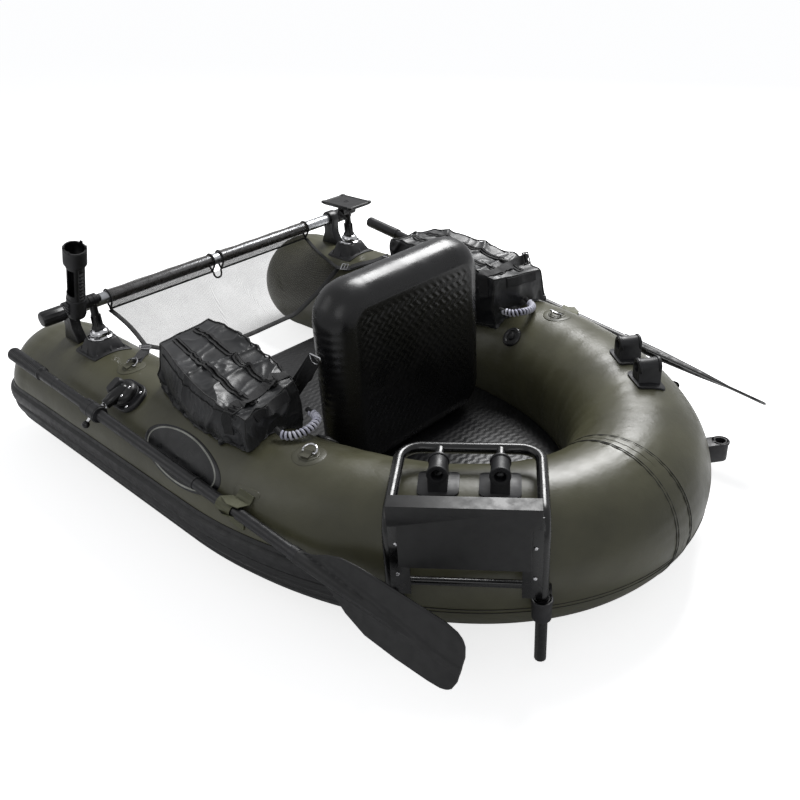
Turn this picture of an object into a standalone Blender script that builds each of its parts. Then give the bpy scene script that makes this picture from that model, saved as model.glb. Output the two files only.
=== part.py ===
"""Inflatable fishing float tube: U-shaped hull, drop-stitch floor and backrest,
crossbar with lap apron, oars on swivelling rowlocks, rod holder, instrument
table and a clip-on motor mount.

Frame: metres, +Z up, +Y towards the closed stern, +X the angler's port side.
The open end, which the angler faces, is at -Y. The origin is at the middle of
the whole object's box, on the floor.
"""
import math

import bmesh
import bpy
from mathutils import Matrix, Vector

for old in list(bpy.data.objects):
    bpy.data.objects.remove(old, do_unlink=True)

# hull: straight pontoons that run into a half-ellipse stern
TUBE_R = 0.151
HALF_TRACK = 0.429
BOW_Y = -0.712
BEND_Y = 0.062
STERN_DEPTH = 0.650
TUBE_SIDES = 32
BEND_RINGS = 16
DOME_RINGS = 6
SEAT_GAP = 0.0003
PAD_T = 0.0050

# rub strake on the outer lower side
STRAKE_TOP_DEG = 11.25
STRAKE_BOTTOM_DEG = -45.0
STRAKE_RIB = 0.0110
STRAKE_WEB = 0.0040
STRAKE_END_DEG = 34.0

# floor
FLOOR_FRONT_Y = -0.500
FLOOR_LEVEL_DEG = 22.5

# backrest cushion
BACK_W = 0.470
BACK_H = 0.455
BACK_T = 0.115
BACK_CORNER_R = 0.085
BACK_RIM_R = 0.050
BACK_Y = 0.130
STRAP_W = 0.038
STRAP_T = 0.0025

# crossbar
BAR_Y = -0.602
BAR_Z = 0.380
BAR_R = 0.0160
BAR_HALF = 0.455
CAP_R = 0.0200
CAP_L = 0.060
FITTING_X = 0.4405
FITTING_W = 0.026
FITTING_R = 0.0235
SLEEVE_T = 0.0020
SLEEVE_DROP = 0.016
SLEEVE_SPANS = (("port", 0.010, 0.335), ("starboard", -0.335, -0.016))
APRON_T = 0.0015
APRON_REAR_Y = -0.425
APRON_REAR_Z = 0.205
APRON_REAR_HALF = 0.268

# accessory stations on the pontoon tops
POST_X = 0.422
POST_Y = -0.500
POST_PAD = 0.052
POST_RING_R = 0.030
KNUCKLE_Z = 0.428
STEM_R = 0.0110
ROD_TUBE_R = 0.0215
ROD_TUBE_WALL = 0.0030
ROD_TUBE_L = 0.205
ROD_TUBE_OFFSET = 0.040
ROD_LEAN_DEG = 24.0
TABLE_X = 0.086
TABLE_Y = 0.125
TABLE_T = 0.0100
TABLE_Z = 0.448

# rowlock and oar
LOCK_Y = -0.255
LOCK_DEG = 61.6
LOCK_SEAT = 0.0070
LOCK_PAD_L = 0.112
LOCK_PAD_W = 0.074
HORN_R = 0.0310
HORN_H = 0.040
OAR_FRONT = Vector((0.6030, -0.600, 0.3250))
OAR_BACK = Vector((0.5380, 0.800, 0.1640))
OAR_R = 0.0125
GRIP_R = 0.0165
GRIP_L = 0.135
COLLAR_R = 0.0190
COLLAR_L = 0.056
OAR_TIP_Y = 0.770
BLADE_L = 0.370
BLADE_W = 0.122
BLADE_T = 0.0050
BLADE_ROLL_DEG = (("port", -72.0), ("starboard", -33.0))
PIN_R = 0.0055

# oar keeper strap
KEEPER_Y = 0.205
KEEPER_W = 0.040
KEEPER_T = 0.0020

# soft bags on the pontoons
BAG_Y0 = -0.196
BAG_Y1 = 0.190
BAG_X0 = 0.285
BAG_X1 = 0.500
BAG_TOP = 0.425

# small fittings: name, y, angle round the tube from the outer equator
D_RINGS = (("aft", 0.275, 88.0), ("fore", -0.345, 88.0))
VALVES_Y = 0.230
VALVES_DEG = 134.0

# motor mount, square to the stern quarter
MOUNT_T_DEG = 49.5
MOUNT_SHIFT = 0.012
HOOP_HALF = 0.130
HOOP_R = 0.0110
HOOP_BEND = 0.040
HOOP_IN = -0.048
HOOP_OUT = 0.168
HOOP_Z = 0.336
HOOP_FOOT_Z = 0.030
STUB_HALF = 0.056
SLEEVE_R = 0.0175
SLEEVE_LEN = 0.050
LOWER_Z = 0.150
BOARD_W = 0.250
BOARD_T = 0.032
BOARD_CAP_H = 0.040
BOARD_H = 0.125
BOARD_TOP_Z = 0.392
BAR_FLAT_W = 0.022
BAR_FLAT_T = 0.006
BAR_FLAT_Z0 = 0.180
BAR_FLAT_Z1 = 0.350


def material(name, rgb, rough, metal=0.0, alpha=1.0):
    mat = bpy.data.materials.new(name)
    mat.use_nodes = True
    bsdf = mat.node_tree.nodes["Principled BSDF"]
    bsdf.inputs["Base Color"].default_value = (*rgb, 1.0)
    bsdf.inputs["Roughness"].default_value = rough
    bsdf.inputs["Metallic"].default_value = metal
    bsdf.inputs["Alpha"].default_value = alpha
    return mat


OLIVE = material("olive_pvc", (0.085, 0.088, 0.052), 0.42)
RIB = material("black_rib", (0.012, 0.012, 0.012), 0.45)
CUSHION = material("black_dropstitch", (0.010, 0.010, 0.011), 0.38)
NYLON = material("black_nylon", (0.020, 0.020, 0.023), 0.62)
WEB = material("black_webbing", (0.014, 0.014, 0.015), 0.80)
OLIVE_WEB = material("olive_webbing", (0.090, 0.092, 0.060), 0.75)
NET = material("netting", (0.45, 0.45, 0.46), 0.8, 0.0, 0.4)
MESH = material("sleeve_mesh", (0.10, 0.09, 0.08), 0.7)
ALU = material("aluminium_bar", (0.78, 0.79, 0.80), 0.28, 1.0)
CHROME = material("chrome", (0.80, 0.80, 0.82), 0.10, 1.0)
PLASTIC = material("black_plastic", (0.020, 0.020, 0.022), 0.42)
RUBBER = material("black_rubber", (0.030, 0.030, 0.032), 0.60)
WRAP = material("white_wrap", (0.66, 0.66, 0.74), 0.5)
PAINT = material("black_painted_tube", (0.015, 0.015, 0.016), 0.22, 0.6)


def finish(name, bm, mat, origin=(0.0, 0.0, 0.0), smooth_deg=35.0, hidden=False):
    """Turn a bmesh in world coordinates into an object whose origin is given."""
    bmesh.ops.recalc_face_normals(bm, faces=bm.faces)
    o = Vector(origin)
    bmesh.ops.translate(bm, verts=bm.verts, vec=-o)
    me = bpy.data.meshes.new(name)
    bm.to_mesh(me)
    bm.free()
    me.materials.append(mat)
    me.shade_smooth()
    me.set_sharp_from_angle(angle=math.radians(smooth_deg))
    ob = bpy.data.objects.new(name, me)
    ob.location = o
    bpy.context.scene.collection.objects.link(ob)
    if hidden:
        ob.hide_render = True
        ob.display_type = "WIRE"
    return ob


def loft(bm, rings):
    """Skin closed rings of equal count and cap both ends."""
    loops = [[bm.verts.new(p) for p in ring] for ring in rings]
    n = len(loops[0])
    for a, b in zip(loops, loops[1:]):
        for i in range(n):
            j = (i + 1) % n
            bm.faces.new((a[i], a[j], b[j], b[i]))
    bm.faces.new(loops[0])
    bm.faces.new(loops[-1])


def annulus(bm, outer, inner, shift):
    """A prism with a hole: outer and inner outlines of equal count, moved by shift."""
    n = len(outer)
    o0 = [bm.verts.new(p) for p in outer]
    i0 = [bm.verts.new(p) for p in inner]
    o1 = [bm.verts.new(p + shift) for p in outer]
    i1 = [bm.verts.new(p + shift) for p in inner]
    for k in range(n):
        j = (k + 1) % n
        bm.faces.new((o0[k], o0[j], o1[j], o1[k]))
        bm.faces.new((i0[k], i1[k], i1[j], i0[j]))
        bm.faces.new((o0[k], i0[k], i0[j], o0[j]))
        bm.faces.new((o1[k], o1[j], i1[j], i1[k]))


def axes_from(direction, up=Vector((0, 0, 1))):
    """Unit axes with w along the direction and v as near to up as it can be."""
    w = Vector(direction).normalized()
    u = up.cross(w)
    if u.length < 1e-6:
        u = Vector((1, 0, 0)).cross(w)
    u.normalize()
    v = w.cross(u)
    return u, v, w


def circle(centre, u, v, radius, sides, phase=0.0):
    return [centre + u * (radius * math.cos(phase + 2 * math.pi * k / sides))
            + v * (radius * math.sin(phase + 2 * math.pi * k / sides)) for k in range(sides)]


def turned(bm, start, direction, profile, sides=20):
    """Revolve (distance along, radius) pairs round an axis."""
    u, v, w = axes_from(direction)
    start = Vector(start)
    loft(bm, [circle(start + w * h, u, v, r, sides) for h, r in profile])


def rounded_rect(w, h, r, steps=5):
    """Outline in (x, y), counter-clockwise, of a w by h box with corner radius r."""
    pts = []
    for cx, cy, a0 in ((w / 2 - r, h / 2 - r, 0), (r - w / 2, h / 2 - r, 90),
                       (r - w / 2, r - h / 2, 180), (w / 2 - r, r - h / 2, 270)):
        for k in range(steps + 1):
            a = math.radians(a0 + 90 * k / steps)
            pts.append((cx + r * math.cos(a), cy + r * math.sin(a)))
    return pts


def slab(bm, centre, u, v, w, layers):
    """Stack outlines: layers are (height along w, outline points in u, v)."""
    loft(bm, [[centre + u * x + v * y + w * h for x, y in pts] for h, pts in layers])


def box(bm, centre, u, v, w, size):
    sx, sy, sz = size
    pts = [(-sx / 2, -sy / 2), (sx / 2, -sy / 2), (sx / 2, sy / 2), (-sx / 2, sy / 2)]
    slab(bm, centre, u, v, w, [(-sz / 2, pts), (sz / 2, pts)])


def ribbon(bm, points, normals, width, thick):
    """A flat strap along points; each normal is the direction of its thickness."""
    rings = []
    for k, p in enumerate(points):
        a = points[max(k - 1, 0)]
        b = points[min(k + 1, len(points) - 1)]
        t = (b - a).normalized()
        n = (normals[k] - t * normals[k].dot(t)).normalized()
        s = t.cross(n)
        rings.append([p + s * (width / 2) + n * (thick / 2), p - s * (width / 2) + n * (thick / 2),
                      p - s * (width / 2) - n * (thick / 2), p + s * (width / 2) - n * (thick / 2)])
    loft(bm, rings)


def pipe(bm, points, radius, sides=12):
    """A round bar along points, with the section carried without twist."""
    t0 = (points[1] - points[0]).normalized()
    u, v, w = axes_from(t0)
    rings = []
    last = w
    for k, p in enumerate(points):
        a = points[max(k - 1, 0)]
        b = points[min(k + 1, len(points) - 1)]
        t = (b - a).normalized()
        q = last.rotation_difference(t)
        u = q @ u
        v = q @ v
        last = t
        rings.append(circle(p, u, v, radius, sides))
    loft(bm, rings)


def fillet_path(corners, radius, steps=6):
    """Polyline through corners with each inner corner rounded."""
    pts = [corners[0]]
    for a, b, c in zip(corners, corners[1:], corners[2:]):
        d0 = (a - b).normalized()
        d1 = (c - b).normalized()
        half = d0.angle(d1) / 2
        cut = radius / math.tan(half)
        p0 = b + d0 * cut
        p1 = b + d1 * cut
        centre = b + (d0 + d1).normalized() * (radius / math.sin(half))
        e0 = p0 - centre
        e1 = p1 - centre
        whole = e0.angle(e1)
        for k in range(steps + 1):
            f = k / steps
            pts.append(centre + (e0 * math.sin((1 - f) * whole) + e1 * math.sin(f * whole)) / math.sin(whole))
    pts.append(corners[-1])
    return pts


def boolean(ob, cutter, op="DIFFERENCE"):
    mod = ob.modifiers.new(op.lower(), "BOOLEAN")
    mod.operation = op
    mod.object = cutter
    mod.solver = "EXACT"


# hull stations: centre, outward level direction, section radius, dome slope
def stations(front=BOW_Y, domes=True):
    """Stations of one pontoon in its +X form, from the bow tip to the stern plane."""
    out = []
    if domes:
        for k in range(DOME_RINGS, 0, -1):
            a = math.radians(84.0) * k / DOME_RINGS
            out.append((Vector((HALF_TRACK, BOW_Y - TUBE_R * math.sin(a), TUBE_R)), Vector((1, 0, 0)),
                        math.cos(a), math.sin(a)))
    for y in (front, BEND_Y):
        out.append((Vector((HALF_TRACK, y, TUBE_R)), Vector((1, 0, 0)), 1.0, 0.0))
    for k in range(1, BEND_RINGS + 1):
        out.append(bend_station(90.0 * k / BEND_RINGS))
    return out


def bend_station(deg):
    t = math.radians(deg)
    c = Vector((HALF_TRACK * math.cos(t), BEND_Y + STERN_DEPTH * math.sin(t), TUBE_R))
    n = Vector((math.cos(t) / HALF_TRACK, math.sin(t) / STERN_DEPTH, 0)).normalized()
    if deg >= 90.0:
        c.x = SEAT_GAP / 2
    return (c, n, 1.0, 0.0)


def skin_point(st, deg, h=0.0):
    """Point at angle deg round the section and height h off the skin."""
    c, n, k, s = st
    a = math.radians(deg)
    radial = n * math.cos(a) + Vector((0, 0, math.sin(a)))
    return c + radial * (TUBE_R * k + h * k) - Vector((0, 1, 0)) * (h * s)


def side(p, s):
    return Vector((p[0] * s, p[1], p[2]))


def hull_body(bm, s, h=0.0):
    rings = []
    for st in stations():
        rings.append([side(skin_point(st, 360.0 * k / TUBE_SIDES, h), s) for k in range(TUBE_SIDES)])
    loft(bm, rings)


def station_at(y):
    """Station of the port pontoon at a given y, on its straight part or the bend."""
    if y <= BEND_Y:
        return (Vector((HALF_TRACK, y, TUBE_R)), Vector((1, 0, 0)), 1.0, 0.0)
    return bend_station(math.degrees(math.asin((y - BEND_Y) / STERN_DEPTH)))


def top_frame(y, deg, s):
    """Local axes on a pontoon's skin: origin, across, along, outward."""
    st = station_at(y)
    a = math.radians(deg)
    up = Vector((0, 0, 1))
    n = st[1] * math.cos(a) + up * math.sin(a)
    e = st[1] * math.sin(a) - up * math.cos(a)
    f = Vector((-st[1].y, st[1].x, 0))
    return side(skin_point(st, deg), s), side(e, s), side(f, s), side(n, s)


SIDES = (("port", 1.0), ("starboard", -1.0))
cutters = {}
for tag, s in SIDES:
    bm = bmesh.new()
    hull_body(bm, s)
    finish("hull_tube_" + tag, bm, OLIVE)
    for label, h in (("seat", SEAT_GAP), ("skin", PAD_T)):
        bm = bmesh.new()
        hull_body(bm, s, h)
        cutters[label, tag] = finish("cut_" + label + "_" + tag, bm, OLIVE, hidden=True)


def hug(ob, tag):
    """Keep only the layer of a pad that lies on the tube's skin."""
    boolean(ob, cutters["skin", tag], "INTERSECT")
    boolean(ob, cutters["seat", tag])


# rub strakes: ribbed band on the hull's own section lines
STEP = 360.0 / TUBE_SIDES
for tag, s in SIDES:
    bm = bmesh.new()
    heights = (0.0012, STRAKE_RIB, STRAKE_RIB, STRAKE_WEB, STRAKE_RIB, STRAKE_RIB, STRAKE_WEB,
               STRAKE_RIB * 0.6, 0.0012)
    span = STRAKE_TOP_DEG - STRAKE_BOTTOM_DEG
    places = (0.0, 0.02, 0.30, 0.36, 0.42, 0.66, 0.72, 0.80, 1.0)
    inner = [STRAKE_TOP_DEG - STEP * k for k in range(int(round(span / STEP)) + 1)]
    sts = [st for st in stations() if st[3] < 0.80 and st[1].x > 0]
    sts = [st for st in sts if st[2] < 1.0 or st[0].y < BEND_Y + STERN_DEPTH * math.sin(math.radians(STRAKE_END_DEG))]
    rings = []
    for k, st in enumerate(sts):
        f = 0.35 if k in (0, len(sts) - 1) else 1.0
        ring = [side(skin_point(st, STRAKE_TOP_DEG - span * p, SEAT_GAP + h * f), s) for p, h in zip(places, heights)]
        ring += [side(skin_point(st, d, SEAT_GAP), s) for d in reversed(inner)]
        rings.append(ring)
    loft(bm, rings)
    finish("rub_strake_" + tag, bm, RIB, smooth_deg=25)

# floor: its edge lies on the tubes' inner skin at each level
bm = bmesh.new()
levels = [180.0 + 67.5, 180.0 + 56.25, 180.0 + 45.0, 180.0 + 33.75, 180.0 + FLOOR_LEVEL_DEG]
rings = []
for deg in levels:
    port = [skin_point(st, deg, SEAT_GAP) for st in stations(front=FLOOR_FRONT_Y, domes=False)]
    port[-1].x = 0.0
    rings.append(port + [side(p, -1.0) for p in reversed(port[:-1])])
loft(bm, rings)
finish("floor_board", bm, CUSHION, smooth_deg=30)
FLOOR_Z = TUBE_R - TUBE_R * math.sin(math.radians(FLOOR_LEVEL_DEG)) - SEAT_GAP * math.sin(math.radians(FLOOR_LEVEL_DEG))

# backrest: drop-stitch slab with a full round rim, hinged at its lower front edge
BACK_BOTTOM = FLOOR_Z + SEAT_GAP
BACK_PIVOT = Vector((0, BACK_Y - BACK_T / 2, BACK_BOTTOM))
bm = bmesh.new()
layers = []
for k in range(9):
    a = math.radians(-90 + 180 * k / 8)
    inset = BACK_RIM_R * (1 - math.cos(a))
    pts = rounded_rect(BACK_W - 2 * inset, BACK_H - 2 * inset, BACK_CORNER_R - inset * 0.9, 6)
    layers.append((BACK_T / 2 * math.sin(a), pts))
centre = Vector((0, BACK_Y, BACK_BOTTOM + BACK_H / 2))
slab(bm, centre, Vector((-1, 0, 0)), Vector((0, 0, 1)), Vector((0, 1, 0)), layers)
finish("backrest", bm, CUSHION, BACK_PIVOT, smooth_deg=50)

# webbing from the backrest's sides to the pontoons' inner shoulders
for tag, s in SIDES:
    z_top = BACK_BOTTOM + BACK_H * 0.62
    p0 = Vector((BACK_W / 2 + STRAP_T, BACK_Y - 0.020, z_top))
    st = (Vector((HALF_TRACK, 0, TUBE_R)), Vector((1, 0, 0)), 1.0, 0.0)
    p3 = skin_point(st, 146.0, STRAP_T / 2) + Vector((0, BACK_Y - 0.185, 0))
    p2 = skin_point(st, 156.0, STRAP_T / 2 + 0.001) + Vector((0, BACK_Y - 0.165, 0))
    p1 = p0.lerp(p2, 0.5) + Vector((0.004, 0, -0.012))
    nrm = [Vector((-1, 0, 0)), Vector((-0.9, 0, -0.1)), Vector((-0.85, 0, 0.45)), Vector((-0.80, 0, 0.55))]
    bm = bmesh.new()
    ribbon(bm, [side(p, s) for p in (p0, p1, p2, p3)], [side(n, s) for n in nrm], STRAP_W, STRAP_T)
    ob = finish("backrest_strap_" + tag, bm, WEB)
    boolean(ob, cutters["seat", tag])

# crossbar with its end caps and the two clamps that carry it
bm = bmesh.new()
turned(bm, (-BAR_HALF, BAR_Y, BAR_Z), (1, 0, 0), [(0, BAR_R), (2 * BAR_HALF, BAR_R)], 20)
finish("crossbar", bm, ALU)
for tag, s in SIDES:
    bm = bmesh.new()
    u, v, w = axes_from((s, 0, 0))
    start = Vector((s * (BAR_HALF + SEAT_GAP), BAR_Y, BAR_Z))
    rings = []
    for h, f in ((0, 0.88), (0.004, 1.0), (CAP_L - 0.006, 1.0), (CAP_L, 0.86)):
        rings.append([start + w * h + (u * math.cos(a) + v * math.sin(a)) * (CAP_R * f * (1.0 if k % 2 else 0.93))
                      for k, a in enumerate(math.radians(360 * k / 28) for k in range(28))])
    loft(bm, rings)
    finish("crossbar_cap_" + tag, bm, PLASTIC, smooth_deg=12)

    bm = bmesh.new()
    turned(bm, (s * (FITTING_X - FITTING_W), BAR_Y, BAR_Z), (s, 0, 0),
           [(0, BAR_R + SEAT_GAP), (2 * FITTING_W, BAR_R + SEAT_GAP)], 24)
    cut = finish("cut_bar_" + tag, bm, ALU, hidden=True)
    bm = bmesh.new()
    half = math.radians(90)
    prof = [(FITTING_R * math.cos(math.radians(a)), BAR_Z + FITTING_R * math.sin(math.radians(a)))
            for a in range(-30, 211, 20)]
    low = TUBE_R * 2 - 0.030
    prof += [(-0.019, BAR_Z - 0.042), (-0.034, TUBE_R * 2 + 0.004), (-0.034, low), (0.034, low),
             (0.034, TUBE_R * 2 + 0.004), (0.019, BAR_Z - 0.042)]
    loft(bm, [[Vector((s * (FITTING_X + e), BAR_Y + y, z)) for y, z in prof] for e in (-FITTING_W / 2, FITTING_W / 2)])
    ob = finish("bar_clamp_" + tag, bm, PLASTIC)
    boolean(ob, cut)
    boolean(ob, cutters["seat", tag])

# mesh sleeves round the bar, each with a hem hanging below
for tag, x0, x1 in SLEEVE_SPANS:
    bm = bmesh.new()
    n = 20
    outer = []
    inner = []
    for k in range(n):
        a = 2 * math.pi * k / n
        r_in = BAR_R + SEAT_GAP
        r_out = r_in + SLEEVE_T
        drop = SLEEVE_DROP * max(0.0, math.cos(a + math.pi / 2)) ** 3
        drop = SLEEVE_DROP * max(0.0, -math.sin(a)) ** 6
        inner.append(Vector((x0, BAR_Y + r_in / math.cos(math.pi / n) * math.cos(a),
                             BAR_Z + r_in / math.cos(math.pi / n) * math.sin(a))))
        outer.append(Vector((x0, BAR_Y + r_out * math.cos(a), BAR_Z + r_out * math.sin(a) - drop)))
    annulus(bm, outer, inner, Vector((x1 - x0, 0, 0)))
    finish("mesh_sleeve_" + tag, bm, MESH)

# lap apron: netting from the sleeves' hems to a rear hem between the pontoons
bm = bmesh.new()
z_hem = BAR_Z - BAR_R - SLEEVE_T - SLEEVE_DROP - 2 * SEAT_GAP
rows = 9
cols = 10
top_half = SLEEVE_SPANS[0][2]
grid = []
for i in range(rows):
    f = i / (rows - 1)
    half = top_half + (APRON_REAR_HALF - top_half) * min(1.0, f / 0.875)
    row = []
    for j in range(cols):
        g = -1 + 2 * j / (cols - 1)
        sag = -0.030 * math.sin(math.pi * f) - 0.018 * f * (1 - g * g)
        row.append(Vector((half * g, BAR_Y + (APRON_REAR_Y - BAR_Y) * f, z_hem - APRON_T
                           + (APRON_REAR_Z - z_hem + APRON_T) * f + sag)))
    grid.append(row)
lower = [p.copy() for row in grid for p in row]
upper = [p + Vector((0, APRON_T * 0.7, APRON_T * 0.7)) for row in grid for p in row]
vu = [bm.verts.new(p) for p in upper]
vl = [bm.verts.new(p) for p in lower]
for i in range(rows - 1):
    for j in range(cols - 1):
        a = i * cols + j
        b = a + 1
        c = b + cols
        d = a + cols
        bm.faces.new((vu[a], vu[b], vu[c], vu[d]))
        bm.faces.new((vl[a], vl[d], vl[c], vl[b]))
edge = [j for j in range(cols)] + [i * cols + cols - 1 for i in range(1, rows)]
edge += [(rows - 1) * cols + j for j in range(cols - 2, -1, -1)] + [i * cols for i in range(rows - 2, 0, -1)]
for a, b in zip(edge, edge[1:] + edge[:1]):
    bm.faces.new((vu[a], vl[a], vl[b], vu[b]))
finish("lap_apron", bm, NET)
for tag, s in SIDES:
    p0 = Vector((APRON_REAR_HALF + SEAT_GAP, APRON_REAR_Y - 0.0090, APRON_REAR_Z + 0.0050))
    st = (Vector((HALF_TRACK, APRON_REAR_Y, TUBE_R)), Vector((1, 0, 0)), 1.0, 0.0)
    p1 = skin_point(st, 155.0, STRAP_T + 0.001) - Vector((0, 0.0110, 0))
    p2 = skin_point(st, 140.0, STRAP_T) - Vector((0, 0.0110, 0))
    p3 = skin_point(st, 128.0, STRAP_T) - Vector((0, 0.0110, 0))
    bm = bmesh.new()
    ribbon(bm, [side(p, s) for p in (p0, p1, p2, p3)],
           [side(n, s) for n in (Vector((0, 0.66, 0.75)), Vector((-0.8, 0, 0.5)), Vector((-0.75, 0, 0.65)), Vector((-0.6, 0, 0.8)))],
           0.022, STRAP_T)
    ob = finish("apron_strap_" + tag, bm, WEB)
    boolean(ob, cutters["seat", tag])


def post_base(name, tag, s):
    """Square moulded rubber foot with a raised boss and a metal ring on it."""
    bm = bmesh.new()
    c, e, f, n = top_frame(POST_Y, 92.6, s)
    c = Vector((s * POST_X, POST_Y, TUBE_R * 2))
    u = Vector((s, 0, 0))
    v = Vector((0, 1, 0))
    w = Vector((0, 0, 1))
    foot = rounded_rect(2 * POST_PAD, 2 * POST_PAD, 0.014, 3)
    mid = rounded_rect(1.30 * POST_PAD, 1.30 * POST_PAD, 0.014, 3)
    ring = rounded_rect(2 * POST_RING_R, 2 * POST_RING_R, POST_RING_R * 0.98, 3)
    slab(bm, c, u, v, w, [(-0.030, foot), (0.002, foot), (0.006, mid), (0.026, ring), (0.036, ring)])
    ob = finish(name, bm, RUBBER, smooth_deg=30)
    boolean(ob, cutters["seat", tag])
    return c + w * 0.036


def stem(bm, base, top, s):
    """Turned post from the ring up to a fork whose cheeks hold the tilt pin."""
    turned(bm, base + Vector((0, 0, SEAT_GAP)), (0, 0, 1),
           [(0, 0.024), (0.006, 0.024), (0.010, STEM_R * 1.3), (0.020, STEM_R),
            (top.z - base.z - 0.016, STEM_R), (top.z - base.z - 0.013, STEM_R * 0.9)], 18)


# rod holder on port: foot, swivelling stem and a tilting tube beside its knuckle
base = post_base("rod_holder_base", "port", 1.0)
knuckle = Vector((POST_X, POST_Y, KNUCKLE_Z))
bm = bmesh.new()
stem(bm, base, knuckle, 1.0)
ob = finish("rod_holder_stem", bm, PLASTIC, base)
bm = bmesh.new()
turned(bm, knuckle - Vector((0.012, 0, 0)), (1, 0, 0), [(0, 0.0150), (0.024, 0.0150)], 18)
hub = finish("cut_hub", bm, PLASTIC, hidden=True)
boolean(ob, hub, "UNION")

lean = math.radians(ROD_LEAN_DEG)
rod_w = Vector((0, math.sin(lean), math.cos(lean)))
rod_u = Vector((1, 0, 0))
rod_v = rod_w.cross(rod_u)
rod_c = knuckle + rod_u * ROD_TUBE_OFFSET
bm = bmesh.new()
outer = circle(rod_c - rod_w * 0.030, rod_u, rod_v, ROD_TUBE_R, 24)
inner = circle(rod_c - rod_w * 0.030, rod_u, rod_v, ROD_TUBE_R - ROD_TUBE_WALL, 24)
annulus(bm, outer, inner, rod_w * ROD_TUBE_L)
ob = finish("rod_holder_tube", bm, PLASTIC, knuckle)
bm = bmesh.new()
outer = circle(rod_c + rod_w * (ROD_TUBE_L - 0.030 - 0.045), rod_u, rod_v, ROD_TUBE_R + 0.0045, 24)
inner = circle(rod_c + rod_w * (ROD_TUBE_L - 0.030 - 0.045), rod_u, rod_v, ROD_TUBE_R - ROD_TUBE_WALL, 24)
annulus(bm, outer, inner, rod_w * 0.047)
collar = finish("cut_collar", bm, PLASTIC, hidden=True)
boolean(ob, collar, "UNION")
bm = bmesh.new()
turned(bm, knuckle + Vector((0.0123, 0, 0)), (1, 0, 0), [(0, 0.0150), (ROD_TUBE_OFFSET - ROD_TUBE_R - 0.0103, 0.0150)], 18)
cheek = finish("cut_cheek", bm, PLASTIC, hidden=True)
boolean(ob, cheek, "UNION")
bm = bmesh.new()
box(bm, rod_c - rod_v * (ROD_TUBE_R + 0.004) + rod_w * 0.060, rod_u, rod_v, rod_w, (0.027, 0.020, 0.110))
slot = finish("cut_slot", bm, PLASTIC, hidden=True)
boolean(ob, slot)

# instrument table on starboard: foot, swivelling stem and a tilting plate
base2 = post_base("table_base", "starboard", -1.0)
top2 = Vector((-POST_X, POST_Y, KNUCKLE_Z))
bm = bmesh.new()
stem(bm, base2, top2, -1.0)
ob = finish("table_stem", bm, PLASTIC, base2)
bm = bmesh.new()
turned(bm, top2 - Vector((0.012, 0, 0)), (1, 0, 0), [(0, 0.0130), (0.024, 0.0130)], 18)
hub2 = finish("cut_hub2", bm, PLASTIC, hidden=True)
boolean(ob, hub2, "UNION")
bm = bmesh.new()
plate = rounded_rect(TABLE_X, TABLE_Y, 0.008, 3)
inset = rounded_rect(TABLE_X - 0.004, TABLE_Y - 0.004, 0.007, 3)
slab(bm, Vector((-POST_X, POST_Y, TABLE_Z)), Vector((1, 0, 0)), Vector((0, 1, 0)), Vector((0, 0, 1)),
     [(0, inset), (0.002, plate), (TABLE_T - 0.002, plate), (TABLE_T, inset)])
ob = finish("instrument_table", bm, PLASTIC, top2)
for k, dx in enumerate((-0.0183, 0.0183)):
    bm = bmesh.new()
    box(bm, top2 + Vector((dx, 0, 0.006)), Vector((1, 0, 0)), Vector((0, 1, 0)), Vector((0, 0, 1)),
        (0.0120, 0.026, (TABLE_Z - KNUCKLE_Z) * 2 + 0.010 - 0.006))
    ear = finish("cut_ear%d" % k, bm, PLASTIC, hidden=True)
    boolean(ob, ear, "UNION")

# rowlocks and oars
oar_dir = (OAR_BACK - OAR_FRONT).normalized()


def oar_at(y):
    return OAR_FRONT + (OAR_BACK - OAR_FRONT) * ((y - OAR_FRONT.y) / (OAR_BACK.y - OAR_FRONT.y))


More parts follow.
